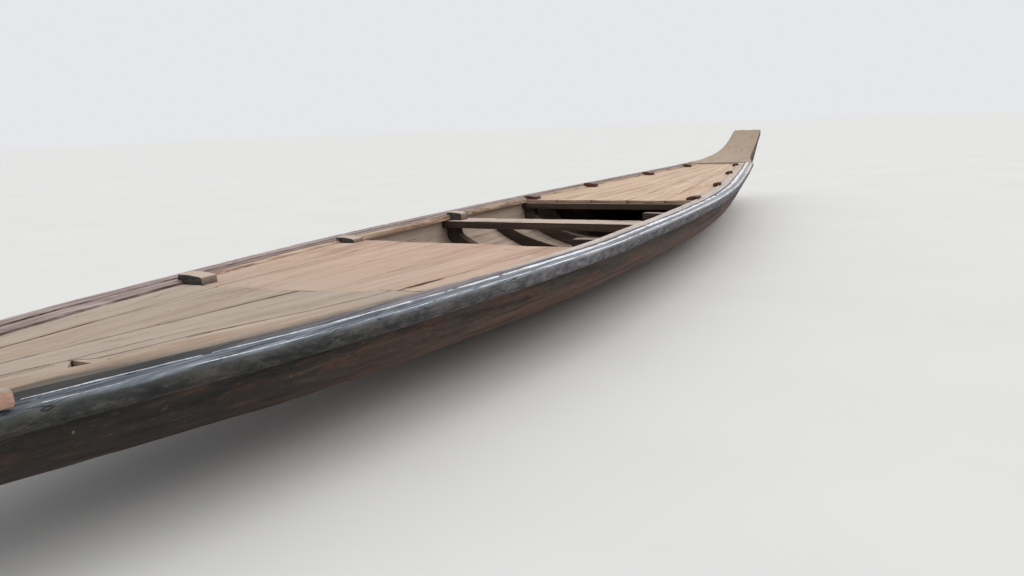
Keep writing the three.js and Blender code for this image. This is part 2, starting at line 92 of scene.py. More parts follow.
# Heights, gaps and sizes of the log, the strakes, the boards, the thwarts and the ribs
RAIL_HEIGHT = 0.276
SEAT_GAP = 0.0003
STRAKE_GAP = 0.0005
LOG_END = 3.488
TOP_STEP = 0.00025
FLARE = 0.06
FLARE_DEPTH = 0.090
OUTER_FLAT = 0.095
NARROW_FLAT_SHARE = 0.24
FLOOR_FLAT_SHARE = 0.8
OUTER_FLARE_SHARE = 0.5
RIM_THICK = 0.030
FLOOR_THICK = 0.042
RIM_SHOULDER = 0.011
RIM_BELOW_RAIL = 0.002
HOLLOW_STERN, HOLLOW_BOW = -3.010, 2.531
HOLLOW_EDGE = 0.006
HULL_STEP = 0.02
BULKHEAD_RUN = 0.110
BULKHEAD_SHARE = 0.62
WALE_WIDE, WALE_DEEP = 0.0498, 0.042
INWALE_WIDE, INWALE_DEEP = 0.025, 0.0215
CROSS_BOARD_START, CROSS_BOARD_END = -2.531, -2.860
BOW_BUTT = 2.530
BOARD_THICK = 0.014
BOARD_BELOW_RAIL = 0.008
CLEAN_EDGE = 0.005
LIFT_GAP = 0.003
THWART_THICK = 0.028
RIB_SIDED = 0.044
RIB_SIDE_MOULD = 0.048
RIB_FLOOR_MOULD = 0.052
RIB_CLEAR = 0.0006
RIB_FLOOR_SHARE = 0.6
RIB_ROUND = 0.006
RIB_POINTS = 34
MID_RIB_BELOW_RAIL = 0.078
HEAD_WIDE = 0.054
LIFT_ROOM = 0.004
SIDES = {1: "port", -1: "starboard"}

# Frames: station of the thwart, and reach of its carved head from the inwale on each side
FRAMES = [
    dict(x=-2.440, port=0, starboard=0),
    dict(x=-1.687, port=0.062, starboard=0),
    dict(x=-0.967, port=0.054, starboard=0),
    dict(x=-0.240, port=0.050, starboard=0),
    dict(x=0.445, port=0.044, starboard=0.036),
    dict(x=1.070, port=0.040, starboard=0.016),
    dict(x=1.775, port=0.036, starboard=0.014),
    dict(x=2.350, port=0.024, starboard=0.012),
]
MID_RIBS = [-2.060, -1.327, -0.604, 0.150, 0.765, 1.420, 2.075]
KNEED_RIBS = (2, 3)

# Bays of loose boards: ends, and for each seam its y, then how dark its edges are, both at
# the aft and at the forward end, and its visible gap
Y_AFT, Y_FORE, DARK_AFT, DARK_FORE, GAP = range(5)
BAYS = {
    "aft": dict(ends=(-2.525, -1.670),
                seams=[(0.104, 0.211, 0.9, 1.0, 0.0010), (0.041, -0.032, -1.4, 1.0, 0.0004),
                       (-0.035, -0.245, 1.0, 0.8, 0.0014)]),
    "mid": dict(ends=(-1.664, -0.928),
                seams=[(0.215, 0.235, 0.1, 0.2, 0.0004), (0.070, 0.060, 0.1, 0.3, 0.0004),
                       (-0.085, -0.110, 0.2, 0.4, 0.0005), (-0.254, -0.345, 1.0, 0.7, 0.0018)]),
    "fore": dict(ends=(0.412, 2.520),
                 seams=[(0.245, 0.040, 0.5, 0.5, 0.0010), (0.073, -0.022, 0.6, 0.5, 0.0014),
                        (-0.098, -0.066, 0.6, 0.5, 0.0014), (-0.270, -0.100, 0.6, 0.4, 0.0012)]),
}
# The seam that bends round the finger hole
BENT_SEAM = dict(bay="aft", seam=2, path=np.array([
    (-2.525, -0.035), (-2.417, -0.053), (-2.345, -0.064), (-2.312, -0.071), (-2.292, -0.104),
    (-2.180, -0.122), (-2.102, -0.135), (-1.844, -0.208), (-1.670, -0.245)]))
# The gap that opens to a wedge: stations, and how far it opens there
WEDGE = dict(bay="mid", seam=3, at=[-1.62, -1.600, -1.52, -1.44], open=[0, 0.016, 0.009, 0])
# Joint between the aft and the middle bay: y, and the station there
JOINT = np.array([(-0.340, -1.622), (-0.268, -1.628), (-0.084, -1.694), (0.046, -1.708),
                  (0.150, -1.697), (0.200, -1.7165), (0.300, -1.7165)])


def smooth(table, column, x):
    """Value of one column of a table at stations x, by cubic pieces through its rows."""
    x = np.asarray(x, float)
    at, value = table[:, 0], table[:, column]
    last = len(at) - 1
    before = np.maximum(np.arange(last + 1) - 1, 0)
    after = np.minimum(np.arange(last + 1) + 1, last)
    slope = (value[after] - value[before]) / (at[after] - at[before])
    row = np.clip(np.searchsorted(at, x, side="left") - 1, 0, last - 1)
    span = at[row + 1] - at[row]
    t = (x - at[row]) / span
    return ((2 * t**3 - 3 * t**2 + 1) * value[row]
            + (t**3 - 2 * t**2 + t) * span * slope[row]
            + (3 * t**2 - 2 * t**3) * value[row + 1]
            + (t**3 - t**2) * span * slope[row + 1])


def rail_z(x):
    return RAIL_HEIGHT + smooth(STATIONS, RISE, x)


def log_half(x):
    return smooth(STATIONS, LOG, x)


def inwale_face(x):
    return log_half(x) - RIM_THICK - STRAKE_GAP - INWALE_WIDE


def board_top(x):
    return rail_z(x) - BOARD_BELOW_RAIL


def keel_z(x):
    return np.maximum(smooth(STATIONS, KEEL, x), 0)


def log_top(x):
    """Top of the log: the rim amidships, let down under the platforms."""
    bow = RAIL_HEIGHT + smooth(BOW_PLATFORM, TOP, x) - PLATFORM_THICK - SEAT_GAP
    stern = RAIL_HEIGHT + smooth(STERN_PLATFORM, TOP, x) - PLATFORM_THICK - SEAT_GAP
    top = np.where(x > BOW_BUTT, bow, rail_z(x) - RIM_BELOW_RAIL)
    return np.where(x < CROSS_BOARD_END, stern, top)


# Noise

def lattice_noise(p, seed):
    """Smooth noise from -1 to 1 at points p, by values on a unit lattice."""
    cell = np.floor(p).astype(np.int64)
    f = p - cell
    f = f * f * (3 - 2 * f)
    total = np.zeros(len(p))
    for corner in range(8):
        step = np.array([corner & 1, corner >> 1 & 1, corner >> 2 & 1])
        key = (cell + step) @ np.array([374761393, 668265263, 2147483647]) + seed * 1274126177
        key = (key ^ (key >> 13)) * 1103515245
        key = (key ^ (key >> 16)) & 0xFFFF
        weight = np.prod(np.where(step, f, 1 - f), axis=1)
        total += weight * (key / 0x7FFF - 1)
    return total


def noise(p, size, seed=0, octaves=3):
    """Fractal noise with features of the given size in metres, one number or one per axis."""
    p = np.asarray(p, float) / np.asarray(size, float)
    total, share = np.zeros(len(p)), 0.5
    for octave in range(octaves):
        total += share * lattice_noise(p * 2**octave + 17.3 * octave, seed + octave)
        share /= 2
    return total


def line_noise(x, size, seed):
    """Fractal noise at stations x."""
    return noise(np.stack([x, 0 * x, 0 * x], 1), size, seed)


# Meshes

def coordinates(mesh):
    co = np.empty(len(mesh.vertices) * 3)
    mesh.vertices.foreach_get("co", co)
    return co.reshape(-1, 3)


def set_coordinates(mesh, co):
    mesh.vertices.foreach_set("co", np.asarray(co, float).ravel())
    mesh.update()


def normals(mesh):
    n = np.empty(len(mesh.vertices) * 3)
    mesh.vertex_normals.foreach_get("vector", n)
    return n.reshape(-1, 3)


def set_attribute(mesh, name, values):
    """One number, or one vector, for each vertex."""
    values = np.asarray(values, np.float32)
    kind = "FLOAT" if values.ndim == 1 else "FLOAT_VECTOR"
    layer = mesh.attributes.get(name) or mesh.attributes.new(name, kind, "POINT")
    layer.data.foreach_set("value" if kind == "FLOAT" else "vector", values.ravel())


def add_object(name, data):
    obj = bpy.data.objects.new(name, data)
    bpy.context.scene.collection.objects.link(obj)
    return obj


def mesh_object(name, verts, faces):
    mesh = bpy.data.meshes.new(name)
    mesh.from_pydata(np.asarray(verts).tolist(), [], [list(map(int, f)) for f in faces])
    mesh.update()
    return add_object(name, mesh)


def side_faces(rows, count):
    """Faces between rows of points, each row closed on itself."""
    i = np.arange(count)
    j = (i + 1) % count
    faces = []
    for a in range(0, (rows - 1) * count, count):
        b = a + count
        faces.extend(np.stack([a + i, a + j, b + j, b + i], 1).tolist())
    return faces


def loft(name, rings):
    """Closed body through rings of points, an array of rows by points by three."""
    rows, count = rings.shape[:2]
    faces = side_faces(rows, count)
    for start in (0, (rows - 1) * count):
        for k in range(count // 2 - 1):
            partner = count - 1 - k
            faces.append([start + k, start + k + 1, start + partner - 1, start + partner])
    obj = mesh_object(name, rings.reshape(-1, 3), faces)
    turn_out(obj.data)
    return obj


def turn_out(mesh):
    """Faces the right way round and doubled points joined."""
    bm = bmesh.new()
    bm.from_mesh(mesh)
    bmesh.ops.remove_doubles(bm, verts=bm.verts, dist=1e-6)
    bmesh.ops.dissolve_degenerate(bm, edges=bm.edges, dist=1e-7)
    bmesh.ops.recalc_face_normals(bm, faces=bm.faces)
    bm.to_mesh(mesh)
    bm.free()


def shade(mesh, angle):
    """Smooth shading, with edges sharper than the angle in degrees kept."""
    mesh.polygons.foreach_set("use_smooth", np.ones(len(mesh.polygons), bool))
    mesh.set_sharp_from_angle(angle=radians(angle))


def push(mesh, offset):
    """Moves every vertex along its normal."""
    set_coordinates(mesh, coordinates(mesh) + normals(mesh) * offset[:, None])


def finish_piece(obj, body, node, material):
    """Gives a piece its material and body, and hides the CAD node that it replaces, if any."""
    obj.data.materials.clear()
    obj.data.materials.append(material)
    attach(obj, body)
    if node:
        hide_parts(node)


def spaced(start, end, step, extra=()):
    """Stations from start to end, about a step apart, with the extra ones among them."""
    marks = np.linspace(start, end, max(2, int(round((end - start) / step)) + 1))
    extra = np.array([e for e in extra if start < e < end])
    return np.unique(np.concatenate([marks, extra]))


# Materials

# Half the width over which the looks of the two sides blend amidships
MIDLINE = 0.01


def colour(red, green, blue):
    """Linear colour from the 0 to 255 values of a picture."""
    c = np.array([red, green, blue]) / 255
    linear = np.where(c <= 0.04045, c / 12.92, ((c + 0.055) / 1.055) ** 2.4)
    return (*linear.tolist(), 1.0)


class Graph:
    """A material's node tree, with a short call for each kind of node. Its colours are given
    by the 0 to 255 values of a picture."""

    def __init__(self, name):
        self.material = bpy.data.materials.new(name)
        self.material.use_nodes = True
        self.tree = self.material.node_tree
        self.shader = self.tree.nodes["Principled BSDF"]
        self.shader.inputs["Specular IOR Level"].default_value = 0.3

    def put(self, socket, value):
        if isinstance(value, bpy.types.NodeSocket):
            self.tree.links.new(value, socket)
        else:
            socket.default_value = value

    def node(self, kind, inputs=(), output=0, **settings):
        node = self.tree.nodes.new(kind)
        for key, value in settings.items():
            setattr(node, key, value)
        for key, value in dict(inputs).items():
            self.put(node.inputs[key], value)
        return node.outputs[output]

    def attribute(self, name, output="Fac"):
        return self.node("ShaderNodeAttribute", output=output, attribute_name=name)

    def math(self, operation, a, b=0.0, clamp=False):
        return self.node("ShaderNodeMath", {0: a, 1: b}, operation=operation, use_clamp=clamp)

    def plus(self, a, b):
        return self.math("ADD", a, b)

    def minus(self, a, b):
        return self.math("SUBTRACT", a, b)

    def times(self, a, b):
        return self.math("MULTIPLY", a, b)

    def blend(self, a, share_a, b, share_b):
        return self.plus(self.times(a, share_a), self.times(b, share_b))

    def shift(self, value, noise, amount):
        """The value moved up and down by a noise, by half the amount at most."""
        return self.plus(value, self.times(self.minus(noise, 0.5), amount))

    def vector(self, operation, a, b=(0, 0, 0), output=0):
        return self.node("ShaderNodeVectorMath", {0: a, 1: b}, output, operation=operation)

    def noise(self, vector, scale, detail=5.0, roughness=0.55, distortion=0.0):
        """Noise that repeats about scale times a metre, one number or one for each axis."""
        scale = (scale,) * 3 if np.isscalar(scale) else scale
        return self.node("ShaderNodeTexNoise", {
            "Vector": self.vector("MULTIPLY", vector, scale), "Scale": 1.0, "Detail": detail,
            "Roughness": roughness, "Distortion": distortion})

    def cells(self, vector, scale, output="Distance"):
        return self.node("ShaderNodeTexVoronoi", {"Vector": vector, "Scale": scale},
                         output=output)

    def ramp(self, value, *stops):
        """Colour ramp through (position, red, green, blue) stops."""
        ramp = self.tree.nodes.new("ShaderNodeValToRGB")
        elements = ramp.color_ramp.elements
        while len(elements) < len(stops):
            elements.new(0.5)
        for element, (position, *tint) in zip(elements, stops):
            element.position = position
            element.color = colour(*tint)
        self.put(ramp.inputs[0], value)
        return ramp.outputs[0]

    def band(self, value, low, high):
        """0 below low and 1 above high, or the other way round where high is the lower."""
        return self.node("ShaderNodeMapRange", {
            "Value": value, "From Min": low, "From Max": high, "To Min": 0.0, "To Max": 1.0})

    def mix(self, share, a, b):
        """Colour between a and b."""
        node = self.tree.nodes.new("ShaderNodeMix")
        node.data_type = "RGBA"
        for key, value in (("Factor_Float", share), ("A_Color", a), ("B_Color", b)):
            socket = next(s for s in node.inputs if s.identifier == key)
            self.put(socket, colour(*value) if isinstance(value, tuple) else value)
        return next(s for s in node.outputs if s.identifier == "Result_Color")

    def lay(self, base, tint, mask, share):
        """A tint over the base where the mask is, covering it by the share at most."""
        return self.mix(self.times(mask, share), base, tint)

    def axis(self, vector, name):
        return self.node("ShaderNodeSeparateXYZ", {0: vector}, output=name)

    def facing(self, name):
        """Component of the surface's direction along one axis."""
        return self.axis(self.node("ShaderNodeNewGeometry", output="Normal"), name)

    def port(self, place):
        """Mask of the port half."""
        return self.band(self.axis(place, "Y"), -MIDLINE, MIDLINE)

    def line(self, flat, start, end, width):
        """Mask of a thin straight line in plan, from start to end."""
        start, end = Vector((*start, 0)), Vector((*end, 0))
        run = end - start
        away = self.vector("SUBTRACT", flat, start)
        share = self.vector("DOT_PRODUCT", away, run / run.length_squared, output=1)
        share = self.math("ADD", share, 0.0, clamp=True)
        nearest = self.node("ShaderNodeVectorMath", {0: run, 3: share}, operation="SCALE")
        off = self.vector("SUBTRACT", away, nearest)
        return self.band(self.vector("LENGTH", off, output=1), width, width * 0.5)

    def place(self):
        return self.node("ShaderNodeTexCoord", output="Object")

    def bump(self, height, distance, strength):
        return self.node("ShaderNodeBump", {"Height": height, "Distance": distance,
                                            "Strength": strength})

    def finish(self, base, roughness, normal):
        self.put(self.shader.inputs["Base Color"], base)
        self.put(self.shader.inputs["Roughness"], roughness)
        self.put(self.shader.inputs["Normal"], normal)
        return self.material


def fibres(g, grain):
    """Tone of weathered fibres from 0 to 1: broad bands, fibres and fine lines."""
    broad = g.noise(grain, (1.6, 22, 22), detail=3, distortion=0.4)
    middle = g.noise(grain, (5, 130, 130), detail=4)
    fine = g.noise(grain, (26, 700, 700), detail=3)
    tone = g.blend(broad, 0.5, middle, 0.32)
    return g.plus(tone, g.times(fine, 0.18))


def splits(g, grain, width, scale, cover):
    """Mask of thin splits that run with the grain, in some places only."""
    lines = g.noise(grain, scale, detail=2, distortion=0.25)
    close = g.math("ABSOLUTE", g.minus(lines, 0.5))
    thin = g.band(close, width, width * 0.25)
    patches = g.noise(grain, (1.7, 6, 6), detail=2)
    return g.times(thin, g.band(patches, cover, cover + 0.06))


def specks(g, vector, scale, size, cover):
    """Mask of small round marks, one in some of the cells."""
    distance = g.cells(vector, scale)
    chosen = g.axis(g.cells(vector, scale, "Color"), "X")
    dots = g.band(distance, size, size * 0.6)
    return g.times(dots, g.band(chosen, cover, cover + 0.02))


# Scratches and old seams in the boards: the two ends in plan, the width and the darkness
LINES = {
    "aft": [
        ((-2.215, 0.143), (-2.075, 0.161), 0.0026, 0.6),
        ((-2.075, 0.161), (-1.890, 0.166), 0.0020, 0.5),
        ((-1.890, 0.166), (-1.720, 0.169), 0.0020, 0.5),
        ((-2.520, -0.036), (-2.417, -0.053), 0.0046, 0.95),
        ((-2.417, -0.053), (-2.345, -0.064), 0.0044, 0.9),
        ((-2.312, -0.070), (-2.158, -0.084), 0.0036, 0.75),
        ((-2.158, -0.084), (-2.060, -0.098), 0.0030, 0.55),
        ((-2.440, -0.062), (-2.345, -0.076), 0.0026, 0.6),
        ((-2.270, -0.118), (-2.190, -0.130), 0.0016, 0.5),
        ((-2.130, -0.140), (-2.080, -0.147), 0.0022, 0.8),
        ((-2.055, 0.010), (-2.032, -0.019), 0.0022, 0.6),
        ((-2.070, 0.004), (-2.046, -0.022), 0.0016, 0.5),
        ((-2.203, -0.013), (-2.173, -0.020), 0.0026, 0.6),
        ((-2.196, -0.024), (-2.120, -0.033), 0.0018, 0.5),
        ((-2.300, 0.088), (-2.190, 0.098), 0.0016, 0.35),
        ((-2.360, 0.046), (-2.220, 0.034), 0.0018, 0.4),
        ((-1.985, 0.060), (-1.900, 0.058), 0.0016, 0.4),
    ],
    "mid": [
        ((-1.637, -0.212), (-1.622, -0.267), 0.0040, 0.9),
        ((-1.600, -0.262), (-1.480, -0.277), 0.0100, 0.9),
        ((-1.480, -0.277), (-1.290, -0.300), 0.0036, 0.8),
        ((-1.290, -0.300), (-1.100, -0.324), 0.0030, 0.6),
        ((-1.199, -0.041), (-1.052, -0.040), 0.0018, 0.4),
        ((-1.480, 0.140), (-1.210, 0.142), 0.0016, 0.35),
        ((-1.400, -0.030), (-1.240, -0.036), 0.0016, 0.3),
    ],
    "fore": [
        ((0.750, 0.056), (1.291, 0.028), 0.0040, 0.5),
        ((1.306, 0.028), (1.318, -0.262), 0.0060, 0.5),
        ((0.666, 0.000), (0.955, -0.014), 0.0040, 0.6),
        ((0.841, -0.228), (1.135, -0.276), 0.0045, 0.6),
        ((1.515, -0.193), (1.795, -0.183), 0.0045, 0.45),
        ((1.795, -0.183), (2.233, -0.143), 0.0045, 0.4),
        ((0.480, 0.150), (0.800, 0.120), 0.0035, 0.35),
    ],
}


def board_material(name, tones, warm, dust, dusty, lines, aft_dust):
    """Old boards under dust: pale fibres, warm streaks, thin brown seams, scratches, splits;
    dusty is the dust's share, and aft_dust a tint for the bay's aft end."""
    g = Graph(name)
    grain = g.attribute("grain", "Vector")
    place = g.place()
    tone = fibres(g, grain)
    base = g.ramp(tone, (0.38, *tones[0]), (0.5, *tones[1]), (0.62, *tones[2]))
    streak = g.noise(grain, (0.8, 12, 12), detail=3, distortion=0.4)
    base = g.lay(base, warm, g.band(streak, 0.5, 0.66), 0.5)
    if aft_dust:
        aft = g.band(g.axis(place, "X"), -1.2, -1.75)
        base = g.lay(base, aft_dust, aft, 0.7)
    patches = g.noise(grain, (1.1, 3.4, 3.4), detail=5, roughness=0.62)
    drift = g.noise(grain, (6, 15, 15), detail=6, roughness=0.7)
    cover = g.blend(patches, 0.62, drift, 0.38)
    base = g.lay(base, dust, g.band(cover, 0.4, 0.58), dusty)
    stain = g.band(g.noise(grain, (1.9, 12, 12), detail=5, distortion=0.6), 0.56, 0.68)
    base = g.lay(base, tones[0], stain, 0.35)
    mottle = g.noise(place, (55, 90, 90), detail=6, roughness=0.75)
    base = g.lay(base, tones[0], g.band(mottle, 0.56, 0.68), 0.28)
    base = g.lay(base, tones[2], g.band(mottle, 0.44, 0.32), 0.3)
    scrape = g.times(g.band(g.noise(grain, (9, 160, 160), detail=3), 0.6, 0.68),
                     g.band(g.noise(grain, (5, 14, 14), detail=3), 0.5, 0.62))
    base = g.lay(base, (126, 92, 68), scrape, 0.5)
    dirt = g.minus(g.attribute("edge"), g.times(drift, 0.006))
    fill = g.plus(g.times(g.band(patches, 0.6, 0.42), 0.5), 0.5)
    seam = g.times(g.band(dirt, 0.0012, -0.0014), fill)
    base = g.lay(base, (104, 72, 52), seam, 0.8)
    # worn: a dark grey strip laid on the starboard boards beside the coaming, where the dust does
    # not reach.
    worn = g.times(g.band(dust_cover(g), 1.0, 0.0), g.band(g.axis(place, "Y"), -0.02, -0.05))
    base = g.lay(base, (70, 66, 61), worn, 0.8)
    cracks = splits(g, grain, 0.005, (0.8, 30, 30), 0.53)
    marks = g.times(cracks, 0.55)
    wander = g.node("ShaderNodeTexNoise", {"Vector": place, "Scale": 16.0, "Detail": 3.0}, 1)
    wander = g.vector("SUBTRACT", wander, (0.5, 0.5, 0.5))
    wander = g.vector("MULTIPLY", wander, (0.014, 0.014, 0))
    flat = g.vector("ADD", g.vector("MULTIPLY", place, (1, 1, 0)), wander)
    for start, end, width, dark in lines:
        mark = g.times(g.line(flat, start, end, width), dark)
        marks = g.math("MAXIMUM", marks, mark)
    base = g.lay(base, (78, 52, 38), marks, 0.85)
    dots = specks(g, grain, 30, 0.05, 0.88)
    base = g.lay(base, (62, 46, 38), dots, 0.75)
    ends = g.band(g.math("ABSOLUTE", g.facing("X")), 0.6, 0.85)
    base = g.lay(base, (120, 92, 74), ends, 0.5)
    sides = g.times(g.band(g.facing("Z"), 0.5, 0.1), g.band(dirt, 0.0028, 0.0))
    base = g.lay(base, (84, 60, 46), sides, 0.6)
    normal = g.bump(g.minus(tone, marks), 0.0011, 0.6)
    rough = g.band(tone, 0.2, 0.9)
    return g.finish(base, g.plus(g.times(rough, 0.1), 0.84), normal)


def dust_cover(g):
    """Share of dust by the 'reach' attribute, with a ragged edge."""
    place = g.place()
    drift = g.noise(place, (7, 22, 22), detail=6, roughness=0.7)
    grit = g.noise(place, (70, 240, 240), detail=4, roughness=0.7)
    reach = g.shift(g.attribute("reach"), drift, 1.8)
    reach = g.shift(reach, grit, 1.2)
    side = g.band(g.axis(place, "Y"), MIDLINE, -MIDLINE)
    return g.times(g.band(reach, -1.0, 1.0), side)


def dusty_edge(g, base):
    """Dust that creeps from the boards over the starboard coaming, farther out forward."""
    place = g.place()
    along = g.axis(place, "X")
    mottle = g.noise(place, (22, 60, 60), detail=6, roughness=0.72)
    tint = g.ramp(g.band(along, -2.6, 2.6), (0.0, 168, 154, 137), (0.2, 186, 172, 160),
                  (0.32, 206, 194, 187), (0.6, 206, 195, 190), (0.9, 206, 188, 172))
    tint = g.lay(tint, (138, 124, 115), g.band(mottle, 0.54, 0.4), 0.35)
    cover = g.times(dust_cover(g), g.band(g.facing("Z"), 0.2, 0.7))
    return g.lay(base, tint, cover, 0.95)


def coaming(g, streak):
    """Top of the coaming where no dust lies: nearly black at the stern, then a greyed purple,
    then a dark strip forward."""
    dark = g.ramp(streak, (0.3, 38, 38, 38), (0.55, 58, 57, 56), (0.8, 98, 94, 90))
    grey = g.ramp(streak, (0.36, 82, 78, 83), (0.5, 106, 101, 107), (0.64, 130, 125, 130))
    along = g.axis(g.place(), "X")
    base = g.mix(g.band(along, -2.25, -1.8), dark, grey)
    return g.lay(base, (84, 82, 90), g.band(along, -1.6, -1.2), 0.8)


def port_dust(g, streak, drift):
    """Purplish brown under pale dust and whitish patches, as all the port gunwale is."""
    base = g.ramp(streak, (0.36, 118, 100, 97), (0.5, 144, 126, 122), (0.64, 166, 149, 143))
    patch = g.band(drift, 0.54, 0.67)
    return g.lay(base, (194, 183, 177), patch, 0.5)


def hull_material():
    """The log: dark under the wale and near the stern, warmer amidships, reddish patches and
    small ochre spots, grey and dusty inside; dark worn rim with dust on its inner edge. The
    dark outside is partly painted shade, most of all under the wale's overhang, and its paler
    lower part partly painted light thrown up from below; the steep walls inside are paler by
    painted light."""
    g = Graph("dark_log")
    place = g.place()
    along = g.axis(place, "X")
    girth = g.attribute("girth")
    inside = g.attribute("inside")
    streak = g.noise(place, (1.2, 26, 60), detail=6, roughness=0.6, distortion=0.2)
    fine = g.noise(place, (9, 240, 420), detail=4)
    blotch = g.noise(place, (2.4, 6, 9), detail=5, roughness=0.62)
    # The outside's tones are kept dark, partly as painted shade, and run from darker by the wale
    # to paler at the bottom: painted shade under the wale's overhang and painted light thrown up
    # from below, over the log's own colour.
    down = g.band(g.shift(girth, blotch, 0.16), 0.02, 0.33)
    stern = g.ramp(down, (0.0, 46, 45, 42), (0.25, 48, 42, 37), (0.55, 58, 47, 40),
                   (1.0, 74, 60, 50))
    middle = g.ramp(down, (0.0, 58, 54, 51), (0.2, 74, 60, 51), (0.55, 112, 87, 74),
                    (1.0, 130, 103, 87))
    tint = g.mix(g.band(along, -2.1, -1.6), stern, middle)
    tint = g.lay(tint, (32, 27, 25), g.band(streak, 0.5, 0.34), 0.8)
    red = g.noise(place, (3.2, 16, 20), detail=6, roughness=0.66, distortion=0.5)
    warm = g.plus(g.times(g.band(along, -2.2, -0.8), 0.3), 0.3)
    tint = g.lay(tint, (110, 68, 49), g.band(red, 0.52, 0.66), warm)
    mottle = g.noise(place, (26, 70, 90), detail=6, roughness=0.72)
    tint = g.lay(tint, (30, 26, 23), g.band(mottle, 0.52, 0.36), 0.4)
    tint = g.lay(tint, (128, 96, 76), g.band(streak, 0.58, 0.8), 0.4)
    outer = g.lay(tint, (146, 118, 97), g.band(fine, 0.6, 0.75), 0.3)
    spots = g.times(specks(g, place, 46, 0.16, 0.93), g.band(blotch, 0.47, 0.55))
    outer = g.lay(outer, (158, 124, 78), spots, 0.8)
    dust = g.noise(place, (3, 7, 7), detail=6, roughness=0.65)
    wall = g.ramp(streak, (0.36, 116, 99, 88), (0.5, 152, 133, 119), (0.66, 178, 160, 145))
    # Painted light: the steep walls are made paler than the floor.
    wall = g.lay(wall, (196, 178, 162), g.band(g.facing("Z"), 0.75, 0.3), 0.6)
    wall = g.lay(wall, (184, 165, 148), g.band(dust, 0.42, 0.62), 0.65)
    rim = dusty_edge(g, coaming(g, streak))
    rim = g.mix(g.port(place), rim, port_dust(g, streak, dust))
    base = g.mix(g.band(inside, 0.5, 0.75), outer, rim)
    base = g.mix(g.band(inside, 1.2, 1.5), base, wall)
    crack = splits(g, place, 0.007, (0.7, 30, 46), 0.5)
    base = g.lay(base, (24, 19, 17), crack, 0.75)
    normal = g.bump(g.minus(g.blend(streak, 0.7, fine, 0.3), crack), 0.0022, 0.6)
    return g.finish(base, g.minus(0.92, g.times(streak, 0.25)), normal)


def wale_material():
    """The wale: blue-grey worn top that pales forward, near the bow partly as painted light,
    with a dark line along it, and a dark mottled outer face; purplish brown under dust to port."""
    g = Graph("weathered_wale")
    place = g.place()
    across = g.attribute("across")
    along = g.axis(place, "X")
    forward = g.band(along, -2.1, 0.4)
    streak = g.noise(place, (2.2, 60, 60), detail=6, roughness=0.62)
    fine = g.noise(place, (22, 420, 420), detail=4)
    chalk = g.noise(place, (7, 40, 40), detail=6, roughness=0.7)
    drift = g.noise(place, (5, 16, 16), detail=6, roughness=0.68)
    stern = g.ramp(streak, (0.36, 68, 73, 80), (0.5, 104, 110, 119), (0.64, 142, 147, 156))
    bow = g.ramp(streak, (0.36, 130, 131, 136), (0.5, 172, 173, 178), (0.64, 202, 203, 207))
    top = g.mix(forward, stern, bow)
    # Near the bow the top is laid paler still, partly as painted light.
    top = g.lay(top, (196, 182, 170), g.band(along, 1.0, 2.3), 0.7)
    line = g.shift(across, streak, 0.012)
    middle = g.band(g.math("ABSOLUTE", g.minus(line, 0.024)), 0.0042, 0.001)
    depth = g.minus(0.8, g.times(forward, 0.35))
    top = g.lay(top, (48, 49, 54), middle, depth)
    shade_out = g.times(g.band(line, 0.014, 0.044), g.times(forward, 0.5))
    top = g.lay(top, (96, 96, 101), shade_out, g.band(along, 2.0, 0.8))
    pale = g.times(g.band(chalk, 0.5, 0.7), g.band(across, 0.02, 0.042))
    top = g.lay(top, (176, 180, 188), pale, 0.55)
    mottle = g.noise(place, (24, 60, 60), detail=7, roughness=0.75)
    stern = g.ramp(mottle, (0.38, 34, 36, 34), (0.5, 50, 51, 49), (0.66, 86, 82, 77))
    bow = g.ramp(mottle, (0.38, 62, 59, 61), (0.5, 94, 90, 93), (0.66, 132, 128, 131))
    face = g.mix(g.band(along, -2.05, -1.3), stern, bow)
    face = g.lay(face, (98, 89, 81), g.band(drift, 0.54, 0.66), 0.28)
    turn = g.shift(across, chalk, 0.016)
    face = g.lay(face, (82, 86, 86), g.band(across, 0.066, 0.052), 0.5)
    face = g.lay(face, (40, 36, 33), g.band(across, 0.068, 0.086), 0.6)
    dusty = g.mix(g.band(across, 0.034, 0.042), port_dust(g, streak, drift), (206, 192, 182))
    top = g.mix(g.port(place), top, dusty)
    base = g.mix(g.band(turn, 0.045, 0.054), top, face)
    crack = splits(g, place, 0.01, (1.4, 40, 40), 0.46)
    base = g.lay(base, (28, 27, 28), crack, 0.75)
    height = g.minus(g.blend(streak, 0.6, fine, 0.4), crack)
    height = g.minus(height, g.times(middle, 0.5))
    return g.finish(base, 0.86, g.bump(height, 0.0024, 0.7))


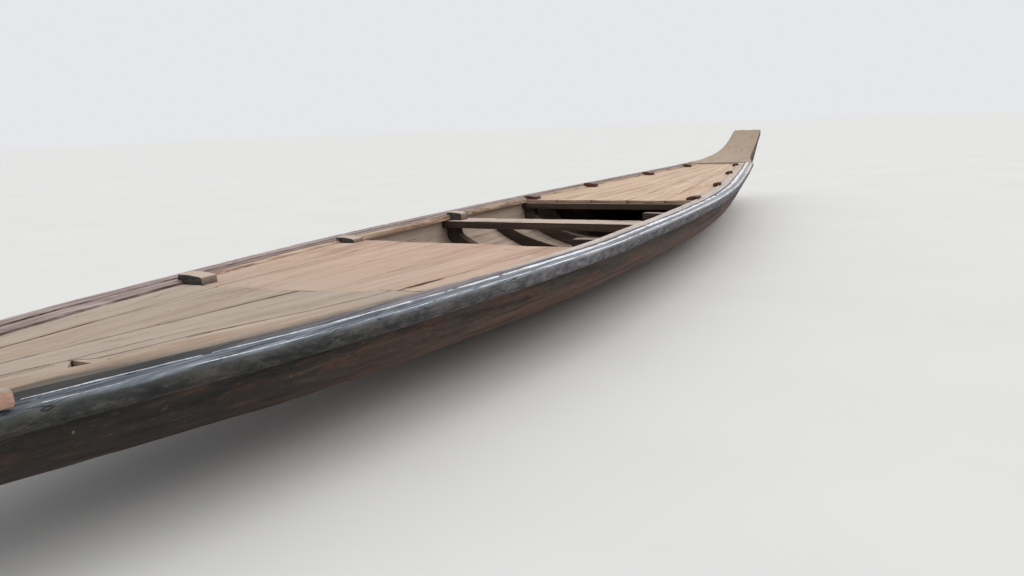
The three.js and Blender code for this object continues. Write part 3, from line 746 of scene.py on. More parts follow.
def inwale_material():
    """The inwale: the coaming's tones under dust to starboard, and to port purplish brown at
    the stern and torn, reddish and darker at one edge forward."""
    g = Graph("reddish_inwale")
    place = g.place()
    streak = g.noise(place, (2.0, 70, 70), detail=6, roughness=0.62)
    fine = g.noise(place, (20, 420, 420), detail=4)
    drift = g.noise(place, (5, 16, 16), detail=6, roughness=0.68)
    base = dusty_edge(g, coaming(g, streak))
    torn = g.ramp(streak, (0.38, 142, 113, 96), (0.5, 180, 154, 133), (0.62, 200, 176, 153))
    tear = g.times(g.band(drift, 0.5, 0.6), g.band(fine, 0.45, 0.58))
    torn = g.lay(torn, (92, 60, 50), tear, 0.8)
    across, along = g.attribute("across"), g.axis(place, "X")
    forward = g.band(along, -1.75, -1.62)
    port = g.mix(forward, port_dust(g, streak, drift), torn)
    ragged = g.shift(across, drift, 0.010)
    inner = g.times(g.band(ragged, -0.0195, -0.0225), g.band(forward, 1.0, 0.0))
    outer = g.times(g.band(ragged, -0.0055, -0.0025), forward)
    port = g.lay(port, (64, 42, 37), g.math("MAXIMUM", inner, outer), 0.85)
    base = g.mix(g.port(place), base, port)
    crack = splits(g, place, 0.01, (1.6, 44, 44), 0.46)
    base = g.lay(base, (36, 28, 26), crack, 0.7)
    normal = g.bump(g.minus(g.blend(streak, 0.6, fine, 0.4), crack), 0.0018, 0.6)
    return g.finish(base, 0.87, normal)


def timber_material(name, dark, middle, light, dust, dusty, end=None):
    """Plain weathered timber with dust on what faces up, more or less of it by the 'lee'
    attribute, and two tones for its ends, where the 'tip' attribute is 1."""
    g = Graph(name)
    grain = g.attribute("grain", "Vector")
    tone = fibres(g, grain)
    base = g.ramp(tone, (0.28, *dark), (0.5, *middle), (0.74, *light))
    drift = g.noise(grain, (5, 14, 14), detail=6, roughness=0.65)
    lee = g.attribute("lee")
    up = g.math("MAXIMUM", g.band(g.facing("Z"), 0.45, 0.9), lee)
    up = g.math("ADD", up, g.math("MINIMUM", lee, 0.0), clamp=True)
    cover = g.times(g.band(drift, 0.26, 0.46), up)
    base = g.lay(base, dust, cover, dusty)
    if end:
        tip = g.attribute("tip")
        rings = g.noise(grain, (90, 90, 260), detail=4, distortion=0.6)
        face = g.ramp(rings, (0.3, *end[0]), (0.7, *end[1]))
        base = g.mix(g.band(tip, 0.4, 0.7), base, face)
    crack = splits(g, grain, 0.008, (1.8, 36, 36), 0.5)
    base = g.lay(base, (38, 28, 23), crack, 0.75)
    normal = g.bump(g.minus(tone, crack), 0.0016, 0.7)
    return g.finish(base, g.minus(0.95, g.times(tone, 0.2)), normal)


def caulk_material():
    """White caulk, soiled and bluish near the stern, purplish to port."""
    g = Graph("white_caulk")
    place = g.place()
    grit = g.noise(place, 160, detail=5, roughness=0.7)
    soil = g.noise(place, (9, 30, 30), detail=4)
    ahead = g.band(g.axis(place, "X"), -1.75, -1.4)
    base = g.mix(ahead, g.ramp(grit, (0.35, 158, 167, 176), (0.6, 214, 221, 228)),
                 g.ramp(grit, (0.35, 206, 208, 214), (0.6, 244, 246, 250)))
    soil = g.times(g.band(soil, 0.46, 0.62), g.minus(0.7, g.times(ahead, 0.5)))
    base = g.mix(soil, base, (128, 133, 141))
    base = g.lay(base, (150, 128, 120), g.port(place), 0.85)
    return g.finish(base, 0.9, g.bump(grit, 0.001, 0.5))


# The log

def bilge(x, side_half, side_z, bottom_half, bottom_z, t):
    """Rows of points from the flare's foot down to the edge of the flat bottom."""
    full = smooth(STATIONS, FULL, x)
    down = (side_z - bottom_z) * full
    across = (side_half - bottom_half) * full
    t = t[None, :]
    weights = [(1 - t) ** 3, 3 * t * (1 - t) ** 2, 3 * t**2 * (1 - t), t**3]
    y = [side_half, side_half - down * FLARE, bottom_half + across, bottom_half]
    z = [side_z, side_z - down, bottom_z, bottom_z]
    return (sum(w * v[:, None] for w, v in zip(weights, y)),
            sum(w * v[:, None] for w, v in zip(weights, z)))


def between(a, b, count, ends):
    """Rows of values from a to b, with or without either of these."""
    t = np.linspace(0, 1, count)
    t = t[0 if ends[0] else 1:count if ends[1] else count - 1]
    return a[:, None] + (b - a)[:, None] * t[None, :]


def outer_half(x, top):
    """Half-section of the log's outside, from the bottom's middle up to the rim."""
    half, bottom = log_half(x), keel_z(x)
    edge = top - RIM_SHOULDER
    foot_z = np.maximum(rail_z(x) - FLARE_DEPTH, bottom + (edge - bottom) * OUTER_FLARE_SHARE)
    foot_z = np.minimum(foot_z, edge - 0.001)
    foot = half - (edge - foot_z) * FLARE
    flat = np.minimum(OUTER_FLAT, half * NARROW_FLAT_SHARE)
    curve_y, curve_z = bilge(x, foot, foot_z, flat, bottom, np.linspace(1, 0, 30))
    turn = np.radians([0, 22.5, 45, 67.5, 90])[None, :]
    y = [between(0 * x, flat, 5, (True, False)), curve_y,
         between(foot, half, 8, (False, False)),
         (half - RIM_SHOULDER)[:, None] + RIM_SHOULDER * np.cos(turn)]
    z = [between(bottom, bottom, 5, (True, False)), curve_z,
         between(foot_z, edge, 8, (False, False)),
         edge[:, None] + RIM_SHOULDER * np.sin(turn)]
    return np.concatenate(y, 1), np.concatenate(z, 1)


def hollow_half(x, steps=24):
    """Half-section of the hollow, from the rim down to the middle of its floor."""
    from_end = np.minimum(x - HOLLOW_STERN, HOLLOW_BOW - x)
    run = np.clip(from_end / BULKHEAD_RUN, 0, 1)
    share = BULKHEAD_SHARE + (1 - BULKHEAD_SHARE) * np.sqrt(1 - (1 - run) ** 2)
    half = log_half(x) - RIM_THICK
    rim = rail_z(x)
    depth = (rim - keel_z(x) - FLOOR_THICK) * share
    flare = np.clip(depth - 0.012, 0.001, FLARE_DEPTH)
    foot = half - flare * FLARE
    flat = FLOOR_FLAT_SHARE * np.minimum(OUTER_FLAT, half * NARROW_FLAT_SHARE)
    curve_y, curve_z = bilge(x, foot, rim - flare, flat, rim - depth, np.linspace(0, 1, steps))
    y = [between(half, foot, 6, (True, False)), curve_y, between(flat, 0 * x, 4, (False, True))]
    z = [between(rim, rim - flare, 6, (True, False)), curve_z,
         between(rim - depth, rim - depth, 4, (False, True))]
    return np.concatenate(y, 1), np.concatenate(z, 1)


def both_sides(values, flip=1):
    """Rows of a half-section and its mirror image, rolled to begin halfway along the half."""
    mirrored = values[:, ::-1][:, 1:-1] * flip
    return np.roll(np.concatenate([values, mirrored], 1), -(values.shape[1] // 2), axis=1)


def make_hull():
    """The hollowed log, with rows of points close to where its section changes at once."""
    marks = [mark + side * TOP_STEP for mark in (CROSS_BOARD_END, BOW_BUTT) for side in (-1, 1)]
    marks += [HOLLOW_STERN - 0.001, HOLLOW_STERN + 0.001, HOLLOW_BOW - HOLLOW_EDGE,
              HOLLOW_BOW + 0.001]
    x = spaced(-LOG_END, LOG_END, HULL_STEP, marks)
    top = log_top(x)
    outer_y, outer_z = outer_half(x, top)
    inner_y, inner_z = hollow_half(x)
    solid = (x < HOLLOW_STERN) | (x > HOLLOW_BOW - HOLLOW_EDGE / 2)
    inner_z = np.where(solid[:, None], top[:, None], np.minimum(inner_z, top[:, None]))
    inner_y = np.minimum(inner_y, (log_half(x) - RIM_THICK)[:, None])
    y = np.concatenate([outer_y, inner_y], 1)
    z = np.concatenate([outer_z, inner_z], 1)
    length = np.hypot(np.diff(y, axis=1), np.diff(z, axis=1))
    run = np.concatenate([np.zeros((len(x), 1)), np.cumsum(length, 1)], 1)
    rim = outer_y.shape[1] - 4
    girth = run[:, [rim]] - run
    inside = np.zeros_like(y)
    inside[:, rim:] = 1
    inside[:, rim + 5:] = 2
    px = np.repeat(x[:, None], y.shape[1], 1)
    p = np.stack([px, y, z], -1).reshape(-1, 3)
    rough = noise(p, (0.22, 0.07, 0.07), 3).reshape(y.shape)
    rough *= np.where(inside == 1, 0.0012, 0.0026)
    rough += noise(p, (0.05, 0.016, 0.016), 8).reshape(y.shape) * 0.0007
    tangent_y, tangent_z = np.gradient(y, axis=1), np.gradient(z, axis=1)
    size = np.maximum(np.hypot(tangent_y, tangent_z), 1e-9)
    keep = (run > 1e-6) & (run < run[:, -1:] - 1e-6)
    out = np.where(solid[:, None] & (inside == 2), 0, rough)
    y = np.where(keep, y + out * tangent_z / size, y)
    z = np.maximum(z - out * tangent_y / size, 0)
    rings = both_sides(np.stack([px, y, z], -1), np.array([1, -1, 1]))
    rows, count = rings.shape[:2]
    ends = [list(range(start, start + count)) for start in (0, (rows - 1) * count)]
    obj = mesh_object("hull_log", rings.reshape(-1, 3), side_faces(rows, count) + ends)
    set_attribute(obj.data, "girth", both_sides(girth).ravel())
    set_attribute(obj.data, "inside", both_sides(inside).ravel())
    set_attribute(obj.data, "reach", dust_reach(rings).ravel())
    turn_out(obj.data)
    shade(obj.data, 45)
    finish_piece(obj, "hull", "hull", hull_material())


# Strakes

CORNER_POINTS = 4
STRAKE_STEP = 0.01


def rounded(corners):
    """Closed outline from (u, v, radius) corners, each turned by an arc of a few points."""
    points = np.array([c[:2] for c in corners], float)
    outline = []
    for k, (*_, radius) in enumerate(corners):
        here = points[k]
        before, after = points[k - 1] - here, points[(k + 1) % len(points)] - here
        before, after = before / np.linalg.norm(before), after / np.linalg.norm(after)
        if radius <= 0:
            outline.append(here)
            continue
        start, end = here + before * radius, here + after * radius
        for t in np.linspace(0, 1, CORNER_POINTS):
            outline.append((1 - t) ** 2 * start + 2 * t * (1 - t) * here + t**2 * end)
    return np.array(outline)


def densify(outline, step):
    """The same outline with points no more than a step apart."""
    dense = []
    for a, b in zip(outline, np.roll(outline, -1, axis=0)):
        parts = max(1, int(np.ceil(np.linalg.norm(b - a) / step)))
        dense += [a + (b - a) * k / parts for k in range(parts)]
    return np.array(dense)


def strake(kind, side, base_y, corners, material, rough):
    """Long strake: an outline in (outboard, up) from base_y and the rail, swept along x."""
    start, end = CROSS_BOARD_END + SEAT_GAP, BOW_BUTT - SEAT_GAP
    outline = densify(rounded(corners), 0.006)
    if len(outline) % 2:
        outline = np.vstack([outline, (outline[-1] + outline[0]) / 2])
    x = spaced(start, end, STRAKE_STEP)
    u = np.repeat(outline[None, :, 0], len(x), 0)
    v = np.repeat(outline[None, :, 1], len(x), 0)
    px = np.repeat(x[:, None], len(outline), 1)
    p = np.stack([px, u + side, v], -1).reshape(-1, 3)
    bumps = noise(p, (0.11, 0.02, 0.02), 21 + side) * rough
    bumps += noise(p, (0.02, 0.008, 0.008), 31 + side) * rough * 0.4
    chips = np.clip(noise(p, (0.035, 0.02, 0.02), 41 + side, 2) - 0.34, 0, 1) * rough * 5
    offset = np.minimum(bumps - chips - 0.25 * rough, 0).reshape(u.shape)
    du = np.roll(u, -1, 1) - np.roll(u, 1, 1)
    dv = np.roll(v, -1, 1) - np.roll(v, 1, 1)
    size = np.maximum(np.hypot(du, dv), 1e-9)
    sense = np.sign(np.sum(outline[:, 0] * np.roll(outline[:, 1], -1)
                           - outline[:, 1] * np.roll(outline[:, 0], -1)))
    u2, v2 = u + sense * offset * dv / size, v - sense * offset * du / size
    y = side * (base_y(x)[:, None] + u2)
    z = rail_z(x)[:, None] + v2
    node = f"{kind}_{SIDES[side]}"
    obj = loft(node + "_worn", np.stack([px, y, z], -1))
    co = coordinates(obj.data)
    out = np.abs(co[:, 1]) - base_y(co[:, 0])
    fall = rail_z(co[:, 0]) - co[:, 2]
    set_attribute(obj.data, "across", out + np.maximum(fall - 0.004, 0))
    set_attribute(obj.data, "reach", dust_reach(co))
    shade(obj.data, 42)
    finish_piece(obj, "hull", node, material)


# Dust on the starboard side: station, middle of its ragged edge inboard from the wale's seam,
# and half the width of that edge; the boards lie lower, and the coaming hides a strip of them
EDGE, SOFT = 1, 2
DUST = np.array([
    (-2.530, 0.062, 0.005),
    (-2.450, 0.080, 0.005),
    (-2.380, 0.088, 0.008),
    (-2.300, 0.082, 0.024),
    (-2.170, 0.066, 0.034),
    (-1.980, 0.062, 0.024),
    (-1.720, 0.058, 0.020),
    (-1.560, 0.040, 0.024),
    (-1.300, 0.024, 0.011),
    (-0.900, 0.018, 0.007),
    (-0.400, 0.014, 0.006),
    (0.500, 0.012, 0.005),
    (1.900, 0.008, 0.005),
    (2.400, 0.006, 0.006),
])
BOARD_HIDDEN = 0.022


def dust_reach(co, hidden=0.0):
    """How far points lie inboard of the dust's edge, as a share of half that edge's width."""
    inboard = log_half(co[..., 0]) - np.abs(co[..., 1]) - hidden
    edge, soft = (np.interp(co[..., 0], DUST[:, 0], DUST[:, k]) for k in (EDGE, SOFT))
    return (inboard - edge) / soft


def make_strakes():
    wale, inwale = wale_material(), inwale_material()
    lean = INWALE_DEEP * FLARE
    for side in SIDES:
        strake("wale", side, lambda x: log_half(x) + STRAKE_GAP, [
            (0, -0.0005, 0.002), (WALE_WIDE, -0.001, 0.011), (WALE_WIDE, -0.024, 0.012),
            (0.036, -WALE_DEEP, 0.012), (0.003, -WALE_DEEP, 0.003), (0, -WALE_DEEP + 0.004, 0)],
            wale, 0.0016)
        strake("inwale", side, lambda x: log_half(x) - RIM_THICK - STRAKE_GAP, [
            (0, -0.002, 0.001), (-INWALE_WIDE, -0.0025, 0.006),
            (-INWALE_WIDE - lean, -INWALE_DEEP, 0.002), (-lean, -INWALE_DEEP, 0)],
            inwale, 0.0009)


# Lines of caulk: middle outboard from the wale's inner edge and above the rail, width and
# height at the stern, share by which it widens and distance by which it moves outboard
# forward, and how far it wanders
CAULK_LINES = {
    "seam": dict(out=0.0020, up=-0.0008, wide=0.0034, high=0.0022, widens=2.5, moves=0.006,
                 wander=0.9),
    "edge": dict(out=WALE_WIDE - 0.008, up=-0.0024, wide=0.0028, high=0.0018, widens=0.5,
                 moves=0, wander=1),
}
# Stations between which the caulk takes its forward width and place
CAULK_WIDENS = (-2.3, -1.1)
CAULK_POINTS = 8


def make_caulk():
    """White caulk along the wale's inner seam and its outer top edge, thick and thin."""
    material = caulk_material()
    x = spaced(CROSS_BOARD_START + 0.004, BOW_BUTT - 0.004, 0.007)
    widen = np.interp(x, CAULK_WIDENS, (0, 1))
    turn = np.linspace(0, 2 * pi, CAULK_POINTS, endpoint=False)[None, :]
    for side, name in SIDES.items():
        for k, (line, c) in enumerate(CAULK_LINES.items()):
            seed = 50 + 7 * k + side
            swell = 1.05 + 1.2 * line_noise(x, 0.03, seed) + 0.7 * line_noise(x, 0.35, seed + 3)
            swell = np.clip(swell, 0.12, 2.4)
            sink = np.where(swell < 0.4, -0.003, 0)
            swell = np.clip(swell + 0.2 * widen, 0.12 + 0.5 * widen, 2.2)
            swell = swell * (1 + c["widens"] * widen)
            wander = 0.0030 * line_noise(x, 0.14, seed + 5)
            wander += 0.0014 * line_noise(x, 0.03, seed + 6)
            out = c["out"] + c["moves"] * widen
            centre = log_half(x) + STRAKE_GAP + out + wander * c["wander"]
            radius_y = c["wide"] * swell / 2
            radius_z = c["high"] * np.sqrt(np.minimum(swell, 2)) / 2
            y = centre[:, None] + radius_y[:, None] * np.cos(turn)
            z = (rail_z(x) + c["up"] + sink)[:, None] + radius_z[:, None] * np.sin(turn)
            obj = loft(f"caulk_{line}_{name}",
                       np.stack([np.repeat(x[:, None], CAULK_POINTS, 1), side * y, z], -1))
            shade(obj.data, 60)
            finish_piece(obj, "hull", None, material)


# Boards

HEAD_ROOM = HEAD_WIDE / 2 + LIFT_ROOM
# Rounding of the boards' edges: below, above where clean, and more above where dirty
UNDER_ROUND, CLEAN_ROUND, DIRTY_ROUND = 0.0018, 0.0006, 0.0012
# Worn lip at the boards' ends: its length and how far it drops
END_LIP, END_DROP = 0.0022, 0.0018
BOARD_POINTS = 13


def outer_edge(x, side):
    """Outer edge of a bay's boards, which steps in round the carved heads."""
    edge = inwale_face(x) - LIFT_GAP
    for f in FRAMES:
        if f[SIDES[side]]:
            ends = np.array([f["x"] - HEAD_WIDE / 2, f["x"] + HEAD_WIDE / 2])
            inner = inwale_face(ends).min() - f[SIDES[side]] - LIFT_ROOM
            edge = np.where(np.abs(x - f["x"]) < HEAD_ROOM, np.minimum(edge, inner), edge)
    return side * edge


def room_marks(side):
    """Stations just before and after the steps round the carved heads."""
    marks = []
    for f in FRAMES:
        if f[SIDES[side]]:
            for x in (f["x"] - HEAD_ROOM, f["x"] + HEAD_ROOM):
                marks += [x - 0.0002, x + 0.0002]
    return marks


def make_board(bay, index, material):
    """One loose board between two seams, or between a seam and the inwale."""
    start, end = BAYS[bay]["ends"]
    seams = BAYS[bay]["seams"]
    last = len(seams)
    name = f"board_{bay}_{index + 1}"
    bay_number = list(BAYS).index(bay)
    seed = 100 + 10 * bay_number + index
    rng = np.random.default_rng(seed)
    marks = room_marks(1) if index == 0 else room_marks(-1) if index == last else []
    lip = [start + 0.0006, start + END_LIP, end - END_LIP, end - 0.0006]
    x = spaced(start, end, 0.012, marks + lip)

    def seam(k):
        if (bay, k) == (BENT_SEAM["bay"], BENT_SEAM["seam"]):
            return np.interp(x, *BENT_SEAM["path"].T) + 0.0015 * line_noise(x, 0.2, 300)
        line = seams[k][Y_AFT] + (seams[k][Y_FORE] - seams[k][Y_AFT]) * (x - start) / (end - start)
        return line + 0.0032 * line_noise(x, 0.4, 300 + 10 * bay_number + k)

    def gap(k):
        wedge = (bay, k) == (WEDGE["bay"], WEDGE["seam"])
        return seams[k][GAP] + (np.interp(x, WEDGE["at"], WEDGE["open"]) if wedge else 0)

    def nibble(side):
        return -0.0004 + 0.0008 * line_noise(x, 0.03, seed + side)

    port = outer_edge(x, 1) if index == 0 else seam(index - 1) - gap(index - 1) / 2 + nibble(1)
    starboard = outer_edge(x, -1) if index == last else seam(index) + gap(index) / 2 - nibble(2)
    dirt = [np.interp(x, (start, end), seams[k][DARK_AFT:DARK_FORE + 1]).clip(0, 1)
            if 0 <= k < last else np.full_like(x, 0.3) for k in (index - 1, index)]
    round_port, round_starboard = (CLEAN_ROUND + DIRTY_ROUND * d for d in dirt)
    ends_in = np.clip(np.minimum(x - start, end - x) / END_LIP, 0, 1)
    drop = END_DROP * (1 - np.sqrt(1 - (1 - ends_in) ** 2))
    top = board_top(x) + rng.uniform(-0.0005, 0.0005) - drop
    under = board_top(x) - BOARD_THICK
    v = np.linspace(0, 1, BOARD_POINTS)[None, :]
    inner_port, inner_starboard = port - round_port, starboard + round_starboard
    y_top = inner_port[:, None] + (inner_starboard - inner_port)[:, None] * v
    cup = rng.uniform(-0.0016, 0.0012) * (1 - (2 * v - 1) ** 2)
    tilt = rng.uniform(-0.0005, 0.0005) * (2 * v - 1)
    z_top = top[:, None] + cup + tilt
    z_port, z_starboard, z_low = z_top[:, 0], z_top[:, -1], under + UNDER_ROUND
    y = np.column_stack([port, port - 0.3 * round_port, y_top, starboard + 0.3 * round_starboard,
                         starboard, starboard, starboard + UNDER_ROUND, port - UNDER_ROUND, port])
    z = np.column_stack([z_port - round_port, z_port - 0.3 * round_port, z_top,
                         z_starboard - 0.3 * round_starboard, z_starboard - round_starboard,
                         z_low, under, under, z_low])
    y = np.column_stack([y, (y[:, 0] + y[:, -1]) / 2])
    z = np.column_stack([z, (z[:, 0] + z[:, -1]) / 2])
    obj = loft(name + "_planed", np.stack([np.repeat(x[:, None], y.shape[1], 1), y, z], -1))
    mesh = obj.data
    co = coordinates(mesh)
    surface = noise(co, (0.16, 0.05, 0.05), seed + 5) * 0.0016
    surface += noise(co, (0.03, 0.012, 0.012), seed + 9) * 0.0005
    co[:, 2] += surface * np.clip((normals(mesh)[:, 2] - 0.3) / 0.5, 0, 1)
    co[:, 2] = np.maximum(co[:, 2], board_top(co[:, 0]) - BOARD_THICK)
    set_coordinates(mesh, co)
    if bay in BENT_ENDS:
        bend_joint(mesh, **BENT_ENDS[bay])
    for crack in CRACKS.get(name, []):
        cut_crack(obj, *crack)
    board_attributes(obj.data, x, port, starboard, dirt, rng)
    shade(obj.data, 40)
    finish_piece(obj, f"boards_{bay}", name, material)


# Board ends at the wavy joint: where they end when straight, the stations behind which they
# stay still, amidships and beside the port head, and half the joint's gap
BENT_ENDS = {
    "aft": dict(end=BAYS["aft"]["ends"][1], still=(-1.80, -1.7182), gap=-0.0012),
    "mid": dict(end=BAYS["mid"]["ends"][0], still=(-1.55, -1.6550), gap=0.0012),
}


def bend_joint(mesh, end, still, gap):
    """Draws the boards' ends to the wavy joint; the heads' rooms stay where they are."""
    co = coordinates(mesh)
    still = np.interp(co[:, 1], [0.15, 0.2], still)
    target = np.interp(co[:, 1], JOINT[:, 0], JOINT[:, 1]) + gap
    share = np.clip((co[:, 0] - still) / (end - still), 0, None)
    co[:, 0] = np.where(share > 0, still + (target - still) * share, co[:, 0])
    set_coordinates(mesh, co)


def set_grain(mesh, co, turn, rng):
    """'grain' attribute: points moved at random and turned in plan, so that x runs along it."""
    grain = np.stack([co[:, 0] * cos(turn) + co[:, 1] * sin(turn),
                      co[:, 1] * cos(turn) - co[:, 0] * sin(turn), co[:, 2]], 1)
    set_attribute(mesh, "grain", grain + rng.uniform(-9, 9, 3))


def board_attributes(mesh, x, port, starboard, dirt, rng):
    """'grain' runs along the board's middle line; 'edge' is the distance from its sides, the
    greater the cleaner they are; 'reach' is for the dust."""
    co = coordinates(mesh)
    set_grain(mesh, co, np.arctan(np.polyfit(x, (port + starboard) / 2, 1)[0]), rng)
    clean = [CLEAN_EDGE * (1 - np.interp(co[:, 0], x, d)) for d in dirt]
    to_port = np.interp(co[:, 0], x, port) - co[:, 1] + clean[0]
    to_starboard = co[:, 1] - np.interp(co[:, 0], x, starboard) + clean[1]
    set_attribute(mesh, "edge", np.minimum(to_port, to_starboard))
    set_attribute(mesh, "reach", np.where(co[:, 1] < 0, dust_reach(co, BOARD_HIDDEN), 9))


# Cracks and holes in the boards: points in plan, width (0 where the points are the outline of
# a hole) and depth
CRACKS = {
    "board_aft_4": [
        ([(-2.312, -0.074), (-2.309, -0.122), (-2.345, -0.110)], 0, 0.02),
        ([(-2.283, -0.127), (-2.279, -0.127)], 0.006, 0.02),
    ],
    "board_aft_1": [([(-2.068, 0.240), (-2.062, 0.241)], 0.005, 0.006)],
    "board_aft_2": [([(-1.968, 0.091), (-1.963, 0.090)], 0.006, 0.006)],
    "board_mid_3": [([(-1.006, -0.030), (-1.005, -0.072)], 0.0022, 0.009)],
    "board_mid_4": [([(-1.006, -0.205), (-1.004, -0.262), (-0.995, -0.318)], 0.003, 0.012)],
}


def cut_crack(obj, points, width, depth):
    """Cuts a tapered crack along the points, or the polygon they make where width is 0."""
    points = np.array(points)
    if width:
        ahead = np.gradient(points, axis=0)
        ahead /= np.linalg.norm(ahead, axis=1)[:, None]
        sideways = np.stack([-ahead[:, 1], ahead[:, 0]], 1) * width / 2
        share = np.ones((len(points), 1)) * (0.9 if len(points) == 2 else 1)
        share[-1] = 0.35
        outline = np.vstack([points + sideways * share, (points - sideways * share)[::-1]])
    else:
        outline = points
    top = float(board_top(outline[:, 0]).max())
    centre = outline.mean(0)
    rings = []
    for z, scale in ((top + 0.006, 1.05), (top - depth, 0.9)):
        ring = centre + (outline - centre) * scale
        rings.append([(px, py, z) for px, py in ring])
    count = len(outline)
    faces = [list(range(count)), list(range(2 * count - 1, count - 1, -1))]
    faces += [[k, k + count, (k + 1) % count + count, (k + 1) % count] for k in range(count)]
    cutter = mesh_object("cutter", np.array(rings).reshape(-1, 3), faces)
    turn_out(cutter.data)
    subtract(obj, cutter)


def subtract(obj, cutter):
    modifier = obj.modifiers.new("cut", "BOOLEAN")
    modifier.operation = "DIFFERENCE"
    modifier.solver = "EXACT"
    modifier.object = cutter
    bpy.context.view_layer.update()
    result = bpy.data.meshes.new_from_object(
        obj.evaluated_get(bpy.context.evaluated_depsgraph_get()))
    obj.modifiers.clear()
    obj.data = result
    bpy.data.objects.remove(cutter)


def make_boards():
    finishes = {
        # The aft bay's tones, streaks and dust are its own colours darkened a little by painted
        # shade, where the light falls off towards the stern.
        "aft": ("beige_boards", ((140, 119, 102), (167, 149, 133), (186, 171, 155)),
                (176, 144, 117), (173, 160, 146), 0.75, None),
        "mid": ("pinkish_boards", ((156, 122, 103), (186, 154, 135), (206, 177, 157)),
                (204, 156, 129), (190, 168, 151), 0.55, (180, 163, 145)),
        "fore": ("tan_boards", ((168, 138, 115), (200, 173, 149), (216, 194, 170)),
                 (210, 172, 144), (203, 181, 160), 0.7, None),
    }
    for bay, (slot, tones, warm, dust, dusty, aft_dust) in finishes.items():
        material = board_material(slot, tones, warm, dust, dusty, LINES[bay], aft_dust)
        for index in range(len(BAYS[bay]["seams"]) + 1):
            make_board(bay, index, material)


# Thwarts, ribs, cross board and platforms

def worn_copy(name, node, bevel, step, rough, seed):
    """The solid of a CAD node with worn edges, cut finer and left uneven."""
    bm = bmesh.new()
    bm.from_mesh(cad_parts[node].data)
    bmesh.ops.remove_doubles(bm, verts=bm.verts, dist=1e-5)
    bmesh.ops.dissolve_limit(bm, angle_limit=radians(2), verts=bm.verts, edges=bm.edges)
    sharp = [e for e in bm.edges if e.is_manifold and e.calc_face_angle(0) > radians(25)]
    bmesh.ops.bevel(bm, geom=sharp, offset=bevel, segments=2, profile=0.5, affect="EDGES",
                    clamp_overlap=True)
    low = np.min([v.co for v in bm.verts], axis=0)
    high = np.max([v.co for v in bm.verts], axis=0)
    for axis in range(3):
        normal = Vector((0, 0, 0))
        normal[axis] = 1
        for mark in spaced(low[axis], high[axis], step)[1:-1]:
            bmesh.ops.bisect_plane(bm, geom=bm.verts[:] + bm.edges[:] + bm.faces[:],
                                   plane_co=normal * float(mark), plane_no=normal)
    mesh = bpy.data.meshes.new(name)
    bm.to_mesh(mesh)
    bm.free()
    co = coordinates(mesh)
    offset = noise(co, (0.07, 0.03, 0.05), seed) * rough - rough * 0.3
    offset += noise(co, (0.018, 0.01, 0.012), seed + 3) * rough * 0.35
    push(mesh, np.minimum(offset, 0))
    shade(mesh, 40)
    return add_object(name, mesh)


def grain_along(mesh, axis, seed, turn=0.0):
    """'grain' attribute with its first component along x or y, turned in plan."""
    co = coordinates(mesh)
    if axis == "y":
        co = co[:, [1, 0, 2]]
    set_grain(mesh, co, turn, np.random.default_rng(seed))


def make_thwarts():
    """Thwarts with worn heads: the first four grey at their aft ends and dustier, the others
    reddish there."""
    materials = {
        tone: timber_material("brown_thwart_" + tone, (40, 32, 28), (66, 53, 46), (98, 80, 68),
                              (196, 176, 162), 0.94, end)
        for tone, end in (("grey", ((40, 39, 39), (82, 78, 75))),
                          ("red", ((66, 40, 32), (108, 68, 54))))}
    for k in range(len(FRAMES)):
        tone, lee = ("grey", 0.35) if k < 4 else ("red", -0.55)
        obj = worn_copy(f"thwart_{k}_worn", f"thwart_{k}", bevel=0.003, step=0.018,
                        rough=0.0018, seed=500 + k)
        grain_along(obj.data, "y", 540 + k)
        co, out = coordinates(obj.data), normals(obj.data)
        head = co[:, 2] > board_top(co[:, 0]) - 0.004
        aft = head & (out[:, 0] < -0.35)
        set_attribute(obj.data, "tip", aft.astype(float))
        set_attribute(obj.data, "lee", (head & ~aft) * lee)
        finish_piece(obj, "hull", f"thwart_{k}", materials[tone])


def evenly(points, count, endpoint=True):
    """Points evenly spaced along a path in a plane."""
    run = np.concatenate([[0], np.cumsum(np.hypot(*np.diff(points, axis=0).T))])
    at = np.linspace(0, run[-1], count, endpoint=endpoint)
    return np.stack([np.interp(at, run, points[:, k]) for k in (0, 1)], 1)


def rib_path(x, top, side, floor):
    """Path of a rib's outside or inside round the hollow, from its top to port to its top to
    starboard."""
    y, z = hollow_half(np.array([x]), 60)
    y, z = y[0], z[0]
    low, rim = z.min(), float(rail_z(x))
    half = y * (1 - side / y[0])
    high = z + floor * (1 - (z - low) / (rim - low))
    cut = int(np.argmax(high < top))
    t = (high[cut - 1] - top) / (high[cut - 1] - high[cut])
    start = half[cut - 1] + (half[cut] - half[cut - 1]) * t
    path = np.stack([np.append(start, half[cut:]), np.append(top, high[cut:])], 1)
    path = evenly(path, RIB_POINTS)
    return np.concatenate([path, path[::-1][1:] * (-1, 1)])


